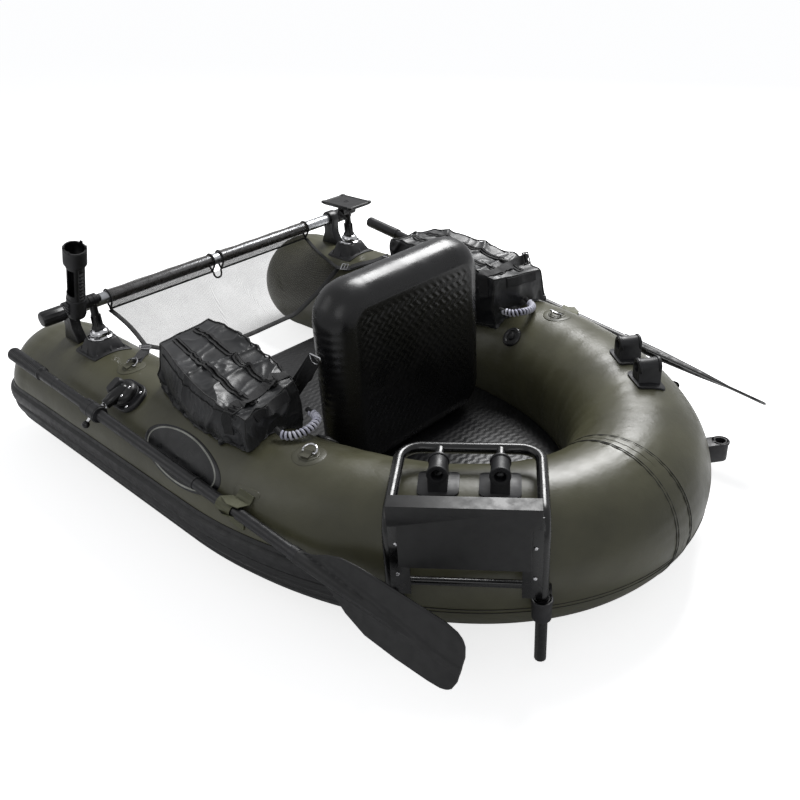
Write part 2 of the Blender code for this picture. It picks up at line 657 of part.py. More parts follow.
for (tag, s), (_, roll) in zip(SIDES, BLADE_ROLL_DEG):
    c, e, f, n = top_frame(LOCK_Y, LOCK_DEG, s)
    # pad moulded to the tube
    bm = bmesh.new()
    stad = rounded_rect(LOCK_PAD_W, LOCK_PAD_L, LOCK_PAD_W / 2 * 0.98, 5)
    slab(bm, c, e, f, n, [(-0.03, stad), (0.03, stad)])
    ob = finish("rowlock_pad_" + tag, bm, RUBBER)
    hug(ob, tag)
    bm = bmesh.new()
    turned(bm, c - n * 0.010, n, [(0, HORN_R * 1.08), (0.010 + LOCK_SEAT, HORN_R)], 24)
    boss = finish("cut_boss_" + tag, bm, RUBBER, hidden=True)
    boolean(boss, cutters["seat", tag])
    boolean(ob, boss, "UNION")
    # horn: a domed block that turns on the pad, with the pin that carries the oar
    bm = bmesh.new()
    foot = LOCK_SEAT + SEAT_GAP
    stadium = rounded_rect(HORN_R * 2, HORN_R * 2, HORN_R * 0.98, 5)
    top = rounded_rect(HORN_R * 1.5, HORN_R * 1.6, HORN_R * 0.72, 5)
    cap = rounded_rect(HORN_R * 0.9, HORN_R * 1.1, HORN_R * 0.42, 5)
    slab(bm, c, e, f, n, [(foot, stadium), (HORN_H * 0.55, stadium), (HORN_H * 0.85, top), (HORN_H, cap)])
    horn = finish("rowlock_horn_" + tag, bm, PLASTIC, c)
    mid = side(oar_at(LOCK_Y), s)
    level = Vector((oar_dir.y * s, -oar_dir.x, 0)).normalized()
    reach = level * ((mid - c).dot(level) - 0.0300)
    pin_c = mid - reach
    bm = bmesh.new()
    turned(bm, pin_c, reach, [(0, PIN_R), (reach.length - COLLAR_R - SEAT_GAP, PIN_R)], 14)
    pin = finish("cut_pin_" + tag, bm, CHROME, hidden=True)
    boolean(horn, pin, "UNION")

    # oar: grip, shaft and collar turned on one axis
    foot_p = side(OAR_FRONT, s)
    d = side(oar_dir, s)
    total = (OAR_TIP_Y - OAR_FRONT.y) / oar_dir.y
    at_lock = (LOCK_Y - OAR_FRONT.y) / oar_dir.y
    ferrule = total - BLADE_L
    bm = bmesh.new()
    turned(bm, foot_p, d, [
        (0, GRIP_R * 0.80), (0.004, GRIP_R), (GRIP_L, GRIP_R), (GRIP_L + 0.002, OAR_R),
        (at_lock - COLLAR_L / 2, OAR_R), (at_lock - COLLAR_L / 2 + 0.001, COLLAR_R),
        (at_lock - 0.001, COLLAR_R), (at_lock, COLLAR_R * 0.93), (at_lock + 0.001, COLLAR_R),
        (at_lock + COLLAR_L / 2, COLLAR_R), (at_lock + COLLAR_L / 2 + 0.001, OAR_R),
        (ferrule - 0.020, OAR_R), (ferrule - 0.018, OAR_R * 1.18), (ferrule, OAR_R * 1.18)], 16)
    finish("oar_shaft_" + tag, bm, PLASTIC, mid)

    # blade: a flat paddle with a round spine that tapers into it
    a = math.radians(roll)
    lat = side((math.cos(a), 0, math.sin(a)), s)
    lat = (lat - d * lat.dot(d)).normalized()
    nor = d.cross(lat)
    root = foot_p + d * (ferrule + SEAT_GAP)
    half = BLADE_W / 2
    length = BLADE_L
    outline = [(0.0, 0.012), (0.030, 0.013), (0.075, half * 0.80), (0.120, half * 0.95), (length * 0.70, half),
               (length * 0.93, half), (length, half * 0.72)]
    pts = [(x, y) for x, y in outline] + [(x, -y) for x, y in reversed(outline)]
    bm = bmesh.new()
    slab(bm, root, d, lat, nor, [(-BLADE_T / 2, pts), (BLADE_T / 2, pts)])
    blade = finish("oar_blade_" + tag, bm, PLASTIC, mid)
    bm = bmesh.new()
    turned(bm, root, d, [(0, OAR_R), (0.12, OAR_R * 0.95), (length * 0.62, OAR_R * 0.6), (length * 0.80, BLADE_T * 0.6)], 12)
    spine = finish("cut_spine_" + tag, bm, PLASTIC, hidden=True)
    boolean(blade, spine, "UNION")

    # keeper strap: loop of webbing that holds the shaft on the pontoon
    kp = side(oar_at(KEEPER_Y), s)
    ku, kv, kw = axes_from(d)
    r_in = OAR_R + 0.0007
    bm = bmesh.new()
    outer = circle(kp - kw * (KEEPER_W / 2), ku, kv, r_in + KEEPER_T, 20)
    inner = circle(kp - kw * (KEEPER_W / 2), ku, kv, r_in, 20)
    annulus(bm, outer, inner, kw * KEEPER_W)
    ob = finish("oar_keeper_" + tag, bm, OLIVE_WEB)
    boolean(ob, cutters["seat", tag])

    # bag: soft case saddled over the pontoon
    bm = bmesh.new()
    rings = []
    for y, f, zt in ((BAG_Y0, 0.80, 0.72), (BAG_Y0 + 0.018, 0.97, 0.95), (BAG_Y0 + 0.07, 1.0, 1.0),
                     ((BAG_Y0 + BAG_Y1) / 2, 1.03, 0.98), (BAG_Y1 - 0.07, 1.0, 0.90),
                     (BAG_Y1 - 0.018, 0.97, 0.80), (BAG_Y1, 0.80, 0.60)):
        xm = (BAG_X0 + BAG_X1) / 2
        hw = (BAG_X1 - BAG_X0) / 2 * f
        zb = TUBE_R * 2 - 0.050
        ztop = TUBE_R * 2 + (BAG_TOP - TUBE_R * 2) * zt
        ring = [(xm - hw * 0.42, zb), (xm - hw * 0.74, zb + 0.020), (xm - hw, zb + 0.062), (xm - hw * 0.96, ztop - 0.024),
                (xm - hw * 0.78, ztop - 0.006), (xm, ztop), (xm + hw * 0.70, ztop - 0.012), (xm + hw * 0.95, ztop - 0.042),
                (xm + hw * 1.02, zb + 0.03), (xm + hw, zb)]
        rings.append([Vector((s * x, y, z)) for x, z in ring])
    loft(bm, rings)
    ob = finish("bag_" + tag, bm, NYLON, smooth_deg=60)
    boolean(ob, cutters["seat", tag])

    # wrapped carrying handle behind the bag
    bm = bmesh.new()
    pts = []
    for k in range(11):
        a = math.pi * k / 10
        pts.append(Vector((s * (HALF_TRACK - 0.050 + 0.048 * math.cos(a)), BAG_Y1 + 0.001 + 0.036 * math.sin(a),
                           TUBE_R * 2 + 0.030 + 0.010 * math.sin(a))))
    pipe(bm, pts, 0.0085, 10)
    ob = finish("bag_handle_" + tag, bm, WRAP)
    bm = bmesh.new()
    box(bm, Vector((s * (HALF_TRACK - 0.05), BAG_Y1 - 0.0397, TUBE_R * 2 + 0.03)), Vector((1, 0, 0)), Vector((0, 1, 0)),
        Vector((0, 0, 1)), (0.2, 0.08, 0.2))
    trim = finish("cut_handle_" + tag, bm, WRAP, hidden=True)
    boolean(ob, trim)

    # valve with a dished flange
    c, e, f, n = top_frame(VALVES_Y, VALVES_DEG, s)
    bm = bmesh.new()
    turned(bm, c - n * 0.012, n, [(0, 0.026), (0.014, 0.026), (0.017, 0.023), (0.0175, 0.017), (0.0155, 0.015),
                                  (0.0155, 0.010), (0.019, 0.0095), (0.020, 0.008)], 24)
    ob = finish("valve_" + tag, bm, PLASTIC)
    boolean(ob, cutters["seat", tag])

    # D-ring patches
    for label, y, deg in D_RINGS:
        c, e, f, n = top_frame(y, deg, s)
        bm = bmesh.new()
        turned(bm, c - n * 0.02, n, [(0, 0.034), (0.04, 0.034)], 24)
        ob = finish("d_ring_%s_%s" % (label, tag), bm, OLIVE)
        hug(ob, tag)
        bm = bmesh.new()
        loop = [c + n * (PAD_T + 0.0005) + e * (0.015 * math.cos(q)) + f * (0.012 * math.sin(q) + 0.006)
                for q in (2 * math.pi * k / 16 for k in range(16))]
        ring = []
        for k, p in enumerate(loop):
            t = (loop[(k + 1) % 16] - loop[k - 1]).normalized()
            r = n.cross(t)
            ring.append([p + (r * math.cos(b) + n * math.sin(b)) * 0.0022 for b in (math.pi / 3 * m for m in range(6))])
        vs = [[bm.verts.new(p) for p in lp] for lp in ring]
        for k in range(16):
            for m in range(6):
                bm.faces.new((vs[k][m], vs[k][(m + 1) % 6], vs[(k + 1) % 16][(m + 1) % 6], vs[(k + 1) % 16][m]))
        wire = finish("cut_wire_%s_%s" % (label, tag), bm, CHROME, hidden=True)
        boolean(ob, wire, "UNION")

# motor mount sockets on both stern quarters, and the mount itself on port
for tag, s in SIDES:
    st = bend_station(MOUNT_T_DEG)
    o = side(st[0] + Vector((0, 0, -TUBE_R)), s)
    n = side(st[1], s)
    u = side((-st[1].y, st[1].x, 0), s)
    z = Vector((0, 0, 1))
    o = o + u * MOUNT_SHIFT
    for k, off in ((1, -STUB_HALF), (2, STUB_HALF)):
        c = o + u * off + n * 0.018
        bm = bmesh.new()
        pad = rounded_rect(0.076, 0.062, 0.010, 3)
        slab(bm, c, u, n, z, [(TUBE_R * 2 - 0.06, pad), (TUBE_R * 2 + 0.03, pad)])
        ob = finish("socket_top%d_%s" % (k, tag), bm, RUBBER)
        hug(ob, tag)
        q = c + z * HOOP_Z - n * (SLEEVE_LEN / 2)
        prof = [(SLEEVE_R * math.cos(math.radians(a)), SLEEVE_R * math.sin(math.radians(a))) for a in range(0, 181, 20)]
        low = -(HOOP_Z - TUBE_R * 2 + 0.030)
        prof += [(-SLEEVE_R, low), (SLEEVE_R, low)]
        bm = bmesh.new()
        loft(bm, [[q + u * x + z * y + n * h for x, y in prof] for h in (0, SLEEVE_LEN)])
        block = finish("cut_block%d_%s" % (k, tag), bm, RUBBER, hidden=True)
        bm = bmesh.new()
        turned(bm, q - n * 0.01, n, [(0, HOOP_R + SEAT_GAP), (SLEEVE_LEN + 0.02, HOOP_R + SEAT_GAP)], 16)
        hole = finish("cut_hole%d_%s" % (k, tag), bm, RUBBER, hidden=True)
        boolean(block, cutters["seat", tag])
        boolean(ob, block, "UNION")
        boolean(ob, hole)
    for k, off in ((1, -HOOP_HALF), (2, HOOP_HALF)):
        c = o + u * off + z * LOWER_Z
        q = c + n * HOOP_OUT - z * 0.022
        prof = [(SLEEVE_R * math.cos(math.radians(a)), SLEEVE_R * math.sin(math.radians(a))) for a in range(0, 181, 20)]
        prof += [(-SLEEVE_R, -0.10), (SLEEVE_R, -0.10)]
        bm = bmesh.new()
        loft(bm, [[q + u * x + n * y + z * h for x, y in prof] for h in (0, 0.044)])
        ob = finish("socket_low%d_%s" % (k, tag), bm, RUBBER)
        bm = bmesh.new()
        turned(bm, q - z * 0.01, z, [(0, HOOP_R + SEAT_GAP), (0.064, HOOP_R + SEAT_GAP)], 16)
        hole = finish("cut_low%d_%s" % (k, tag), bm, RUBBER, hidden=True)
        boolean(ob, cutters["seat", tag])
        boolean(ob, hole)
    if tag == "port":
        # hoop: bar across the inside, runs out over the tube, then down to the feet
        corners = [o + u * -HOOP_HALF + n * HOOP_OUT + z * HOOP_FOOT_Z, o + u * -HOOP_HALF + n * HOOP_OUT + z * HOOP_Z,
                   o + u * -HOOP_HALF + n * HOOP_IN + z * HOOP_Z, o + u * HOOP_HALF + n * HOOP_IN + z * HOOP_Z,
                   o + u * HOOP_HALF + n * HOOP_OUT + z * HOOP_Z, o + u * HOOP_HALF + n * HOOP_OUT + z * HOOP_FOOT_Z]
        bm = bmesh.new()
        pipe(bm, fillet_path(corners, HOOP_BEND), HOOP_R, 12)
        frame = finish("motor_mount_frame", bm, PAINT)
        for k, off in ((1, -STUB_HALF), (2, STUB_HALF)):
            bm = bmesh.new()
            turned(bm, o + u * off + n * HOOP_IN + z * HOOP_Z, n, [(0, HOOP_R * 0.8), (-HOOP_IN + 0.036, HOOP_R * 0.8)], 12)
            stub = finish("cut_stub%d" % k, bm, PAINT, hidden=True)
            boolean(frame, stub, "UNION")
        bm = bmesh.new()
        turned(bm, o + u * -HOOP_HALF + n * HOOP_OUT + z * (LOWER_Z + 0.052), u, [(0, HOOP_R * 0.7), (2 * HOOP_HALF, HOOP_R * 0.7)], 10)
        rail = finish("cut_rail", bm, PAINT, hidden=True)
        boolean(frame, rail, "UNION")
        # flat bars welded to the uprights carry the board's edges
        for sgn in (-1, 1):
            bm = bmesh.new()
            inner = HOOP_HALF - HOOP_R - BAR_FLAT_W / 2 + 0.004
            mid_z = (BAR_FLAT_Z0 + BAR_FLAT_Z1) / 2
            box(bm, o + u * (sgn * inner) + n * (HOOP_OUT + HOOP_R - BAR_FLAT_T / 2) + z * mid_z, u, n, z,
                (BAR_FLAT_W + 0.012, BAR_FLAT_T, BAR_FLAT_Z1 - BAR_FLAT_Z0))
            bar = finish("cut_bar%d" % (sgn + 1), bm, PAINT, hidden=True)
            boolean(frame, bar, "UNION")
        # board: cap across the uprights, panel between them
        face = HOOP_OUT + HOOP_R + SEAT_GAP
        bw = BOARD_W / 2
        pw = HOOP_HALF - HOOP_R - 0.010
        t0 = BOARD_TOP_Z - BOARD_CAP_H
        prof = [(-bw, BOARD_TOP_Z), (-bw, t0), (-pw, t0), (-pw, BOARD_TOP_Z - BOARD_H), (pw, BOARD_TOP_Z - BOARD_H),
                (pw, t0), (bw, t0), (bw, BOARD_TOP_Z)]
        bm = bmesh.new()
        loft(bm, [[o + u * x + z * y + n * h for x, y in prof] for h in (face, face + BOARD_T)])
        ob = finish("transom_board", bm, PLASTIC, smooth_deg=20)
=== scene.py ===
"""Looks of the fishing float tube: coated fabric hull, embossed cushions, nylon
bags, netting, webbing, moulded plastic and metal. Metres, +Z up, +Y to the stern,
+X to port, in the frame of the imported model."""
import math

import bpy
import numpy as np
from mathutils import Matrix, Vector, noise


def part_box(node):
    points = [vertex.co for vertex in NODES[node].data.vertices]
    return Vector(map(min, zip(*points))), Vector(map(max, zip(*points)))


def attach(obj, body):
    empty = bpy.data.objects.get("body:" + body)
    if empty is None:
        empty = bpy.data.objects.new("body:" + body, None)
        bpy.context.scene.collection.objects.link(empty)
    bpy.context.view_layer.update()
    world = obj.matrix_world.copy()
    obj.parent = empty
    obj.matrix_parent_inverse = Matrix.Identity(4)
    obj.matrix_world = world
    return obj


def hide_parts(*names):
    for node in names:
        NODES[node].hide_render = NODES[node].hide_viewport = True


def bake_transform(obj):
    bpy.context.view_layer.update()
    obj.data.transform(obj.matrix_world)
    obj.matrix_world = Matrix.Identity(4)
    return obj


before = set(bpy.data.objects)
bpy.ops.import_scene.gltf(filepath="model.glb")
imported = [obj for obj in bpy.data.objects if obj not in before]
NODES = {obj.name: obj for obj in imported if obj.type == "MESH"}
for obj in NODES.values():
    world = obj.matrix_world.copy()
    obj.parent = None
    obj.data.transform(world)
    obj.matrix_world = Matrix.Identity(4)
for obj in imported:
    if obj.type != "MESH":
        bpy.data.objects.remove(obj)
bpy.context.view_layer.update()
SIDES = (("port", 1.0), ("starboard", -1.0))
X, Y, Z = Vector((1, 0, 0)), Vector((0, 1, 0)), Vector((0, 0, 1))

# hull form, as the frame has it
TUBE_R = 0.151
HALF_TRACK = 0.429
BOW_Y = -0.712
BEND_Y = 0.062
STERN_DEPTH = 0.650


def camera():
    """The photograph's camera: place in metres, angles in degrees, focal length in its pixels."""
    place = Vector((1.25718837, 1.41483664, 1.21826869))
    azimuth, elevation, roll = (math.radians(a) for a in (135.9623, 29.8305, -3.5581))
    focal_px, image_px, sensor_mm = 863.01, 800, 36.0
    back = Vector((math.sin(azimuth) * math.cos(elevation), -math.cos(azimuth) * math.cos(elevation),
                   math.sin(elevation)))
    right = (-back).cross(Z).normalized()
    up = right.cross(-back)
    turned_right = right * math.cos(roll) + up * math.sin(roll)
    turned_up = up * math.cos(roll) - right * math.sin(roll)
    data = bpy.data.cameras.new("camera")
    data.sensor_width = sensor_mm
    data.lens = sensor_mm * focal_px / image_px
    ob = bpy.data.objects.new("camera", data)
    ob.matrix_world = Matrix.Translation(place) @ Matrix((turned_right, turned_up, back)).transposed().to_4x4()
    bpy.context.scene.collection.objects.link(ob)
    bpy.context.scene.camera = ob


camera()


# colours and materials
def linear(hex_code):
    """An sRGB hex colour as linear light, with an alpha of 1."""
    values = [int(hex_code[i:i + 2], 16) / 255 for i in (1, 3, 5)]
    return (*[v / 12.92 if v <= 0.04045 else ((v + 0.055) / 1.055) ** 2.4 for v in values], 1.0)


def add(tree, kind, links=None, **settings):
    """Add a node; links gives its inputs, as a number, a colour or another node's output."""
    made = tree.nodes.new(kind)
    for key, value in settings.items():
        setattr(made, key, value)
    for key, value in (links or {}).items():
        if isinstance(value, bpy.types.NodeSocket):
            tree.links.new(value, made.inputs[key])
        else:
            made.inputs[key].default_value = value
    return made


def ramp(tree, value, low, high, first, second):
    """Colour that goes from first to second while value goes from low to high."""
    made = add(tree, "ShaderNodeValToRGB", {"Fac": value})
    made.color_ramp.elements[0].position = low
    made.color_ramp.elements[1].position = high
    made.color_ramp.elements[0].color = first
    made.color_ramp.elements[1].color = second
    return made.outputs["Color"]


def level(tree, value, low, high, first, second):
    """Number that goes from first to second while value goes from low to high."""
    made = add(tree, "ShaderNodeMapRange", {"Value": value, "From Min": low, "From Max": high,
                                            "To Min": first, "To Max": second})
    return made.outputs["Result"]


def start(name, **sockets):
    """A material with its shader's constant sockets set; returns the material, tree, shader and place."""
    mat = bpy.data.materials.new(name)
    mat.use_nodes = True
    tree = mat.node_tree
    shader = tree.nodes["Principled BSDF"]
    for key, value in sockets.items():
        shader.inputs[key.replace("_", " ")].default_value = value
    place = add(tree, "ShaderNodeTexCoord").outputs["Object"]
    return mat, tree, shader, place


def cloudy(tree, place, size_mm, detail=4.0, rough=0.55):
    """Noise whose patches are about size_mm across, from 0 to 1."""
    return add(tree, "ShaderNodeTexNoise", {"Vector": place, "Scale": 1000.0 / size_mm, "Detail": detail,
                                            "Roughness": rough}).outputs["Fac"]


def tint(tree, shader, value, dark, light, low=0.35, high=0.65):
    tree.links.new(ramp(tree, value, low, high, linear(dark), linear(light)), shader.inputs["Base Color"])


def gloss(tree, shader, value, smooth, rough, low=0.35, high=0.65):
    tree.links.new(level(tree, value, low, high, smooth, rough), shader.inputs["Roughness"])


def emboss(tree, shader, heights, depth_mm):
    """Bumps one over another: pairs of height value and its depth in millimetres."""
    normal = None
    for value, deep in zip(heights, depth_mm):
        links = {"Height": value, "Distance": deep / 1000.0, "Strength": 1.0}
        if normal is not None:
            links["Normal"] = normal
        normal = add(tree, "ShaderNodeBump", links).outputs["Normal"]
    tree.links.new(normal, shader.inputs["Normal"])


def weave(tree, place, spacing_mm, turn=0.0):
    """Over-and-under threads: two crossed waves, 0 to 1."""
    turned = add(tree, "ShaderNodeMapping", {"Vector": place, "Rotation": (0.0, 0.0, turn)}).outputs["Vector"]
    split = add(tree, "ShaderNodeSeparateXYZ", {"Vector": turned})
    total = add(tree, "ShaderNodeMath", {0: split.outputs["X"], 1: split.outputs["Z"]}, operation="ADD").outputs[0]
    waves = []
    for along in (total, split.outputs["Y"]):
        scaled = add(tree, "ShaderNodeMath", {0: along, 1: 2000.0 * math.pi / spacing_mm}, operation="MULTIPLY")
        waves.append(add(tree, "ShaderNodeMath", {0: scaled.outputs[0]}, operation="SINE").outputs[0])
    product = add(tree, "ShaderNodeMath", {0: waves[0], 1: waves[1]}, operation="MULTIPLY").outputs[0]
    return level(tree, product, -1.0, 1.0, 0.0, 1.0)


def coated_fabric(name, dark, light, rough, sheen=0.0):
    """PVC coated polyester: satin, faint print-through of the base cloth, soft handling marks."""
    mat, tree, shader, place = start(name, IOR=1.52, Sheen_Weight=sheen)
    broad = cloudy(tree, place, 160.0)
    tint(tree, shader, broad, dark, light, 0.30, 0.70)
    gloss(tree, shader, cloudy(tree, place, 60.0), rough - 0.05, rough + 0.07)
    # the cloth's threads are 1 mm apart; drawn at 3 mm so that they show
    emboss(tree, shader, (weave(tree, place, 3.0), cloudy(tree, place, 14.0)), (0.05, 0.35))
    return mat


def moulded(name, dark, light, rough, grain_mm=1.2, depth_mm=0.08, coat=0.0):
    """Injection-moulded plastic or rubber: spark-eroded grain, slightly worn gloss in patches."""
    mat, tree, shader, place = start(name, IOR=1.50, Coat_Weight=coat, Coat_Roughness=0.12)
    tint(tree, shader, cloudy(tree, place, 35.0), dark, light)
    gloss(tree, shader, cloudy(tree, place, 18.0), rough - 0.07, rough + 0.08)
    emboss(tree, shader, (cloudy(tree, place, grain_mm, 2.0),), (depth_mm,))
    return mat


def metal(name, dark, light, rough, grain_mm=2.0, depth_mm=0.01, **extra):
    """Polished or anodised metal with a little unevenness in its polish."""
    mat, tree, shader, place = start(name, Metallic=1.0, **extra)
    tint(tree, shader, cloudy(tree, place, 40.0), dark, light)
    gloss(tree, shader, cloudy(tree, place, 9.0), rough * 0.8, rough * 1.25)
    emboss(tree, shader, (cloudy(tree, place, grain_mm, 2.0),), (depth_mm,))
    return mat


def woven_tape(name, dark, light, spacing_mm=2.2, rough=0.72, sheen=0.15):
    """Polyester webbing: dull ribs across the tape, drawn at 2.2 mm so that they show."""
    mat, tree, shader, place = start(name, IOR=1.48, Sheen_Weight=sheen, Sheen_Roughness=0.4)
    threads = weave(tree, place, spacing_mm, 0.6)
    tint(tree, shader, threads, dark, light, 0.2, 0.8)
    gloss(tree, shader, cloudy(tree, place, 25.0), rough - 0.06, rough + 0.08)
    emboss(tree, shader, (threads, cloudy(tree, place, 9.0)), (0.25, 0.2))
    return mat


def crinkled_nylon(name):
    """Calendered 420 denier nylon: soft broad gloss, crushed creases of every size, fine weave."""
    mat, tree, shader, place = start(name, IOR=1.53, Sheen_Weight=0.10, Sheen_Roughness=0.35)
    folds = cloudy(tree, place, 55.0, 6.0, 0.6)
    tint(tree, shader, folds, "#101113", "#202124", 0.35, 0.68)
    gloss(tree, shader, cloudy(tree, place, 22.0), 0.33, 0.47)
    ridged = add(tree, "ShaderNodeTexNoise", {"Vector": place, "Scale": 24.0, "Detail": 5.0, "Roughness": 0.5,
                                              "Distortion": 1.2}, noise_type="RIDGED_MULTIFRACTAL")
    emboss(tree, shader, (ridged.outputs["Fac"], cloudy(tree, place, 9.0, 4.0), weave(tree, place, 2.4)),
           (0.45, 0.30, 0.05))
    return mat


def netting(name, thread, spacing_mm, cover, rough=0.75):
    """Knitted mesh: cover is the share of light that the threads stop; holes are too fine to draw,
    so the cloth is part see-through, with its threads as a slight ripple."""
    mat, tree, shader, place = start(name, IOR=1.48, Roughness=rough)
    patches = cloudy(tree, place, 90.0)
    threads = weave(tree, place, spacing_mm)
    tint(tree, shader, threads, thread[0], thread[1], 0.2, 0.8)
    mixed = add(tree, "ShaderNodeMath", {0: threads, 1: 0.25, 2: cover - 0.12}, operation="MULTIPLY_ADD").outputs[0]
    more = add(tree, "ShaderNodeMath", {0: patches, 1: 0.10, 2: mixed}, operation="MULTIPLY_ADD").outputs[0]
    tree.links.new(more, shader.inputs["Alpha"])
    emboss(tree, shader, (threads,), (0.2,))
    return mat


MAT = {
    # hull: olive satin PVC on polyester
    "hull": coated_fabric("olive_pvc_fabric", "#444332", "#565541", 0.33),
    # patches: the same cloth, cut from another roll
    "patch": coated_fabric("olive_pvc_patch", "#48473a", "#595846", 0.40),
    # strake: extruded black rubber, dull on the ribs
    "strake": moulded("extruded_black_rubber", "#101011", "#1b1b1c", 0.42, 2.0, 0.06),
    # floor: embossed black PVC, greyish sheen
    "floor": coated_fabric("embossed_black_pvc", "#101011", "#1a1a1c", 0.40),
    # cushion: glossy black PVC
    "cushion": coated_fabric("gloss_black_pvc", "#0e0e0f", "#18181a", 0.27),
    "web": woven_tape("black_polyester_webbing", "#0c0c0d", "#1c1c1e"),
    "olive_web": woven_tape("olive_coated_strap", "#50513c", "#62624c", 3.0, 0.52, 0.0),
    "bag": crinkled_nylon("crinkled_black_nylon"),
    "zip": moulded("black_coil_zip", "#0d0d0e", "#1d1d1f", 0.40, 1.6, 0.5),
    "piping": woven_tape("black_bound_edge", "#0b0b0c", "#19191a", 2.0, 0.66),
    "sleeve": netting("dark_sleeve_mesh", ("#17130f", "#38312a"), 3.0, 0.30),
    "net": netting("knitted_apron_netting", ("#171614", "#302e2a"), 4.0, 0.30),
    "bar": metal("anodised_aluminium", "#b4b6b9", "#d2d3d6", 0.30),
    "chrome": metal("chromed_steel", "#c9c9cc", "#e4e4e6", 0.09),
    "cap": moulded("ribbed_black_plastic", "#0f0f10", "#1c1c1e", 0.36),
    "plastic": moulded("black_nylon_plastic", "#0b0b0c", "#161618", 0.36),
    "rubber": moulded("moulded_black_rubber", "#121214", "#202023", 0.46, 1.8, 0.12),
    "oar": moulded("black_pp_shaft", "#101012", "#1c1c1f", 0.34, 1.0, 0.05),
    "paint": moulded("gloss_black_paint", "#060607", "#0b0b0c", 0.24, 6.0, 0.03, 0.15),
    "board": moulded("black_hdpe_board", "#050506", "#0d0d0e", 0.44, 2.4, 0.08),
    "wrap": moulded("white_cord", "#b9b9cc", "#e6e6f0", 0.50, 3.0, 0.25),
    "ink": moulded("printed_black", "#0d0e10", "#1a1b1d", 0.33),
    "rim": moulded("pale_print", "#8f9088", "#b4b5ad", 0.42),
    "gloss": moulded("gloss_black_plastic", "#08080a", "#101012", 0.16, 5.0, 0.03),
    "blade": moulded("black_pp_blade", "#101011", "#1a1a1b", 0.42, 1.0, 0.06),
    "weld": moulded("dark_weld_line", "#15150e", "#20201a", 0.45),
}


# meshes: a piece is gathered as (points, faces, material number) and joined once
def lattice(rows, cols, around=False, ring=False):
    """Quads of a rows by cols net; around closes the columns, ring closes the rows."""
    faces = []
    for i in range(rows if ring else rows - 1):
        for j in range(cols if around else cols - 1):
            a, b = i * cols + j, i * cols + (j + 1) % cols
            c, d = ((i + 1) % rows) * cols + (j + 1) % cols, ((i + 1) % rows) * cols + j
            faces.append((a, b, c, d))
    return faces


def skin(rings, around=True, ends=True, ring=False, number=0):
    """Part made of rings of points; ends puts a cap on each end."""
    count = len(rings[0])
    faces = lattice(len(rings), count, around, ring)
    if ends and not ring:
        faces.append(tuple(reversed(range(count))))
        faces.append(tuple(range((len(rings) - 1) * count, len(rings) * count)))
    return [tuple(p) for r in rings for p in r], faces, number


def piece(name, parts, materials, body="hull", sharp=40.0):
    """One object from its parts, riding on a body (none where it blends between two)."""
    points, faces, numbers = [], [], []
    for pts, fcs, number in parts:
        base = len(points)
        points.extend(pts)
        faces.extend(tuple(base + k for k in f) for f in fcs)
        numbers.extend([number] * len(fcs))
    mesh = bpy.data.meshes.new(name)
    mesh.from_pydata(points, [], faces)
    mesh.polygons.foreach_set("material_index", numbers)
    for key in ([materials] if isinstance(materials, str) else materials):
        mesh.materials.append(MAT[key])
    mesh.validate()
    mesh.shade_smooth()
    mesh.set_sharp_from_angle(angle=math.radians(sharp))
    ob = bpy.data.objects.new(name, mesh)
    bpy.context.scene.collection.objects.link(ob)
    tidy_normals(ob)
    if body:
        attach(ob, body)
    return ob


def tidy_normals(ob):
    """Faces point outward on every closed part."""
    import bmesh
    bm = bmesh.new()
    bm.from_mesh(ob.data)
    bmesh.ops.recalc_face_normals(bm, faces=bm.faces)
    bm.to_mesh(ob.data)
    bm.free()


def axes(direction, up=Z):
    """Unit axes: u across, v near up, w along the direction."""
    w = Vector(direction).normalized()
    u = up.cross(w)
    if u.length < 1e-6:
        u = X.cross(w)
    u.normalize()
    return u, w.cross(u), w


def circle(centre, u, v, radius, sides):
    turn = 2 * math.pi / sides
    return [centre + (u * math.cos(turn * k) + v * math.sin(turn * k)) * radius for k in range(sides)]


def turned(begin, direction, profile, sides=24, number=0):
    """Part revolved round an axis: pairs of distance along and radius."""
    u, v, w = axes(direction)
    return skin([circle(Vector(begin) + w * h, u, v, r, sides) for h, r in profile], number=number)


def frames(path, closed=False):
    """Tangents along a path and a normal carried along it without twist."""
    count = len(path)
    tangents = []
    for k in range(count):
        a = path[(k - 1) % count] if closed else path[max(k - 1, 0)]
        b = path[(k + 1) % count] if closed else path[min(k + 1, count - 1)]
        tangents.append((b - a).normalized())
    normal = axes(tangents[0])[0]
    carried = []
    for k, t in enumerate(tangents):
        if k:
            normal = tangents[k - 1].rotation_difference(t) @ normal
        normal = (normal - t * normal.dot(t)).normalized()
        carried.append(normal)
    return tangents, carried


def cable(path, radius, sides=10, closed=False, number=0):
    """Round part along a path; radius is a number, or one for each point."""
    tangents, normals = frames(path, closed)
    rings = []
    for k, (p, t, n) in enumerate(zip(path, tangents, normals)):
        r = radius[k] if isinstance(radius, (list, tuple)) else radius
        rings.append(circle(p, n, t.cross(n), r, sides))
    if closed:
        # the carried normal comes back turned, so the last ring starts where it fits the first
        first = rings[0][0]
        shift = min(range(sides), key=lambda m: (rings[-1][m] - first).length)
        faces = lattice(len(rings), sides, True)
        last = (len(rings) - 1) * sides
        faces += [(last + (m + shift) % sides, last + (m + 1 + shift) % sides, (m + 1) % sides, m)
                  for m in range(sides)]
        return [tuple(p) for r in rings for p in r], faces, number
    return skin(rings, number=number)


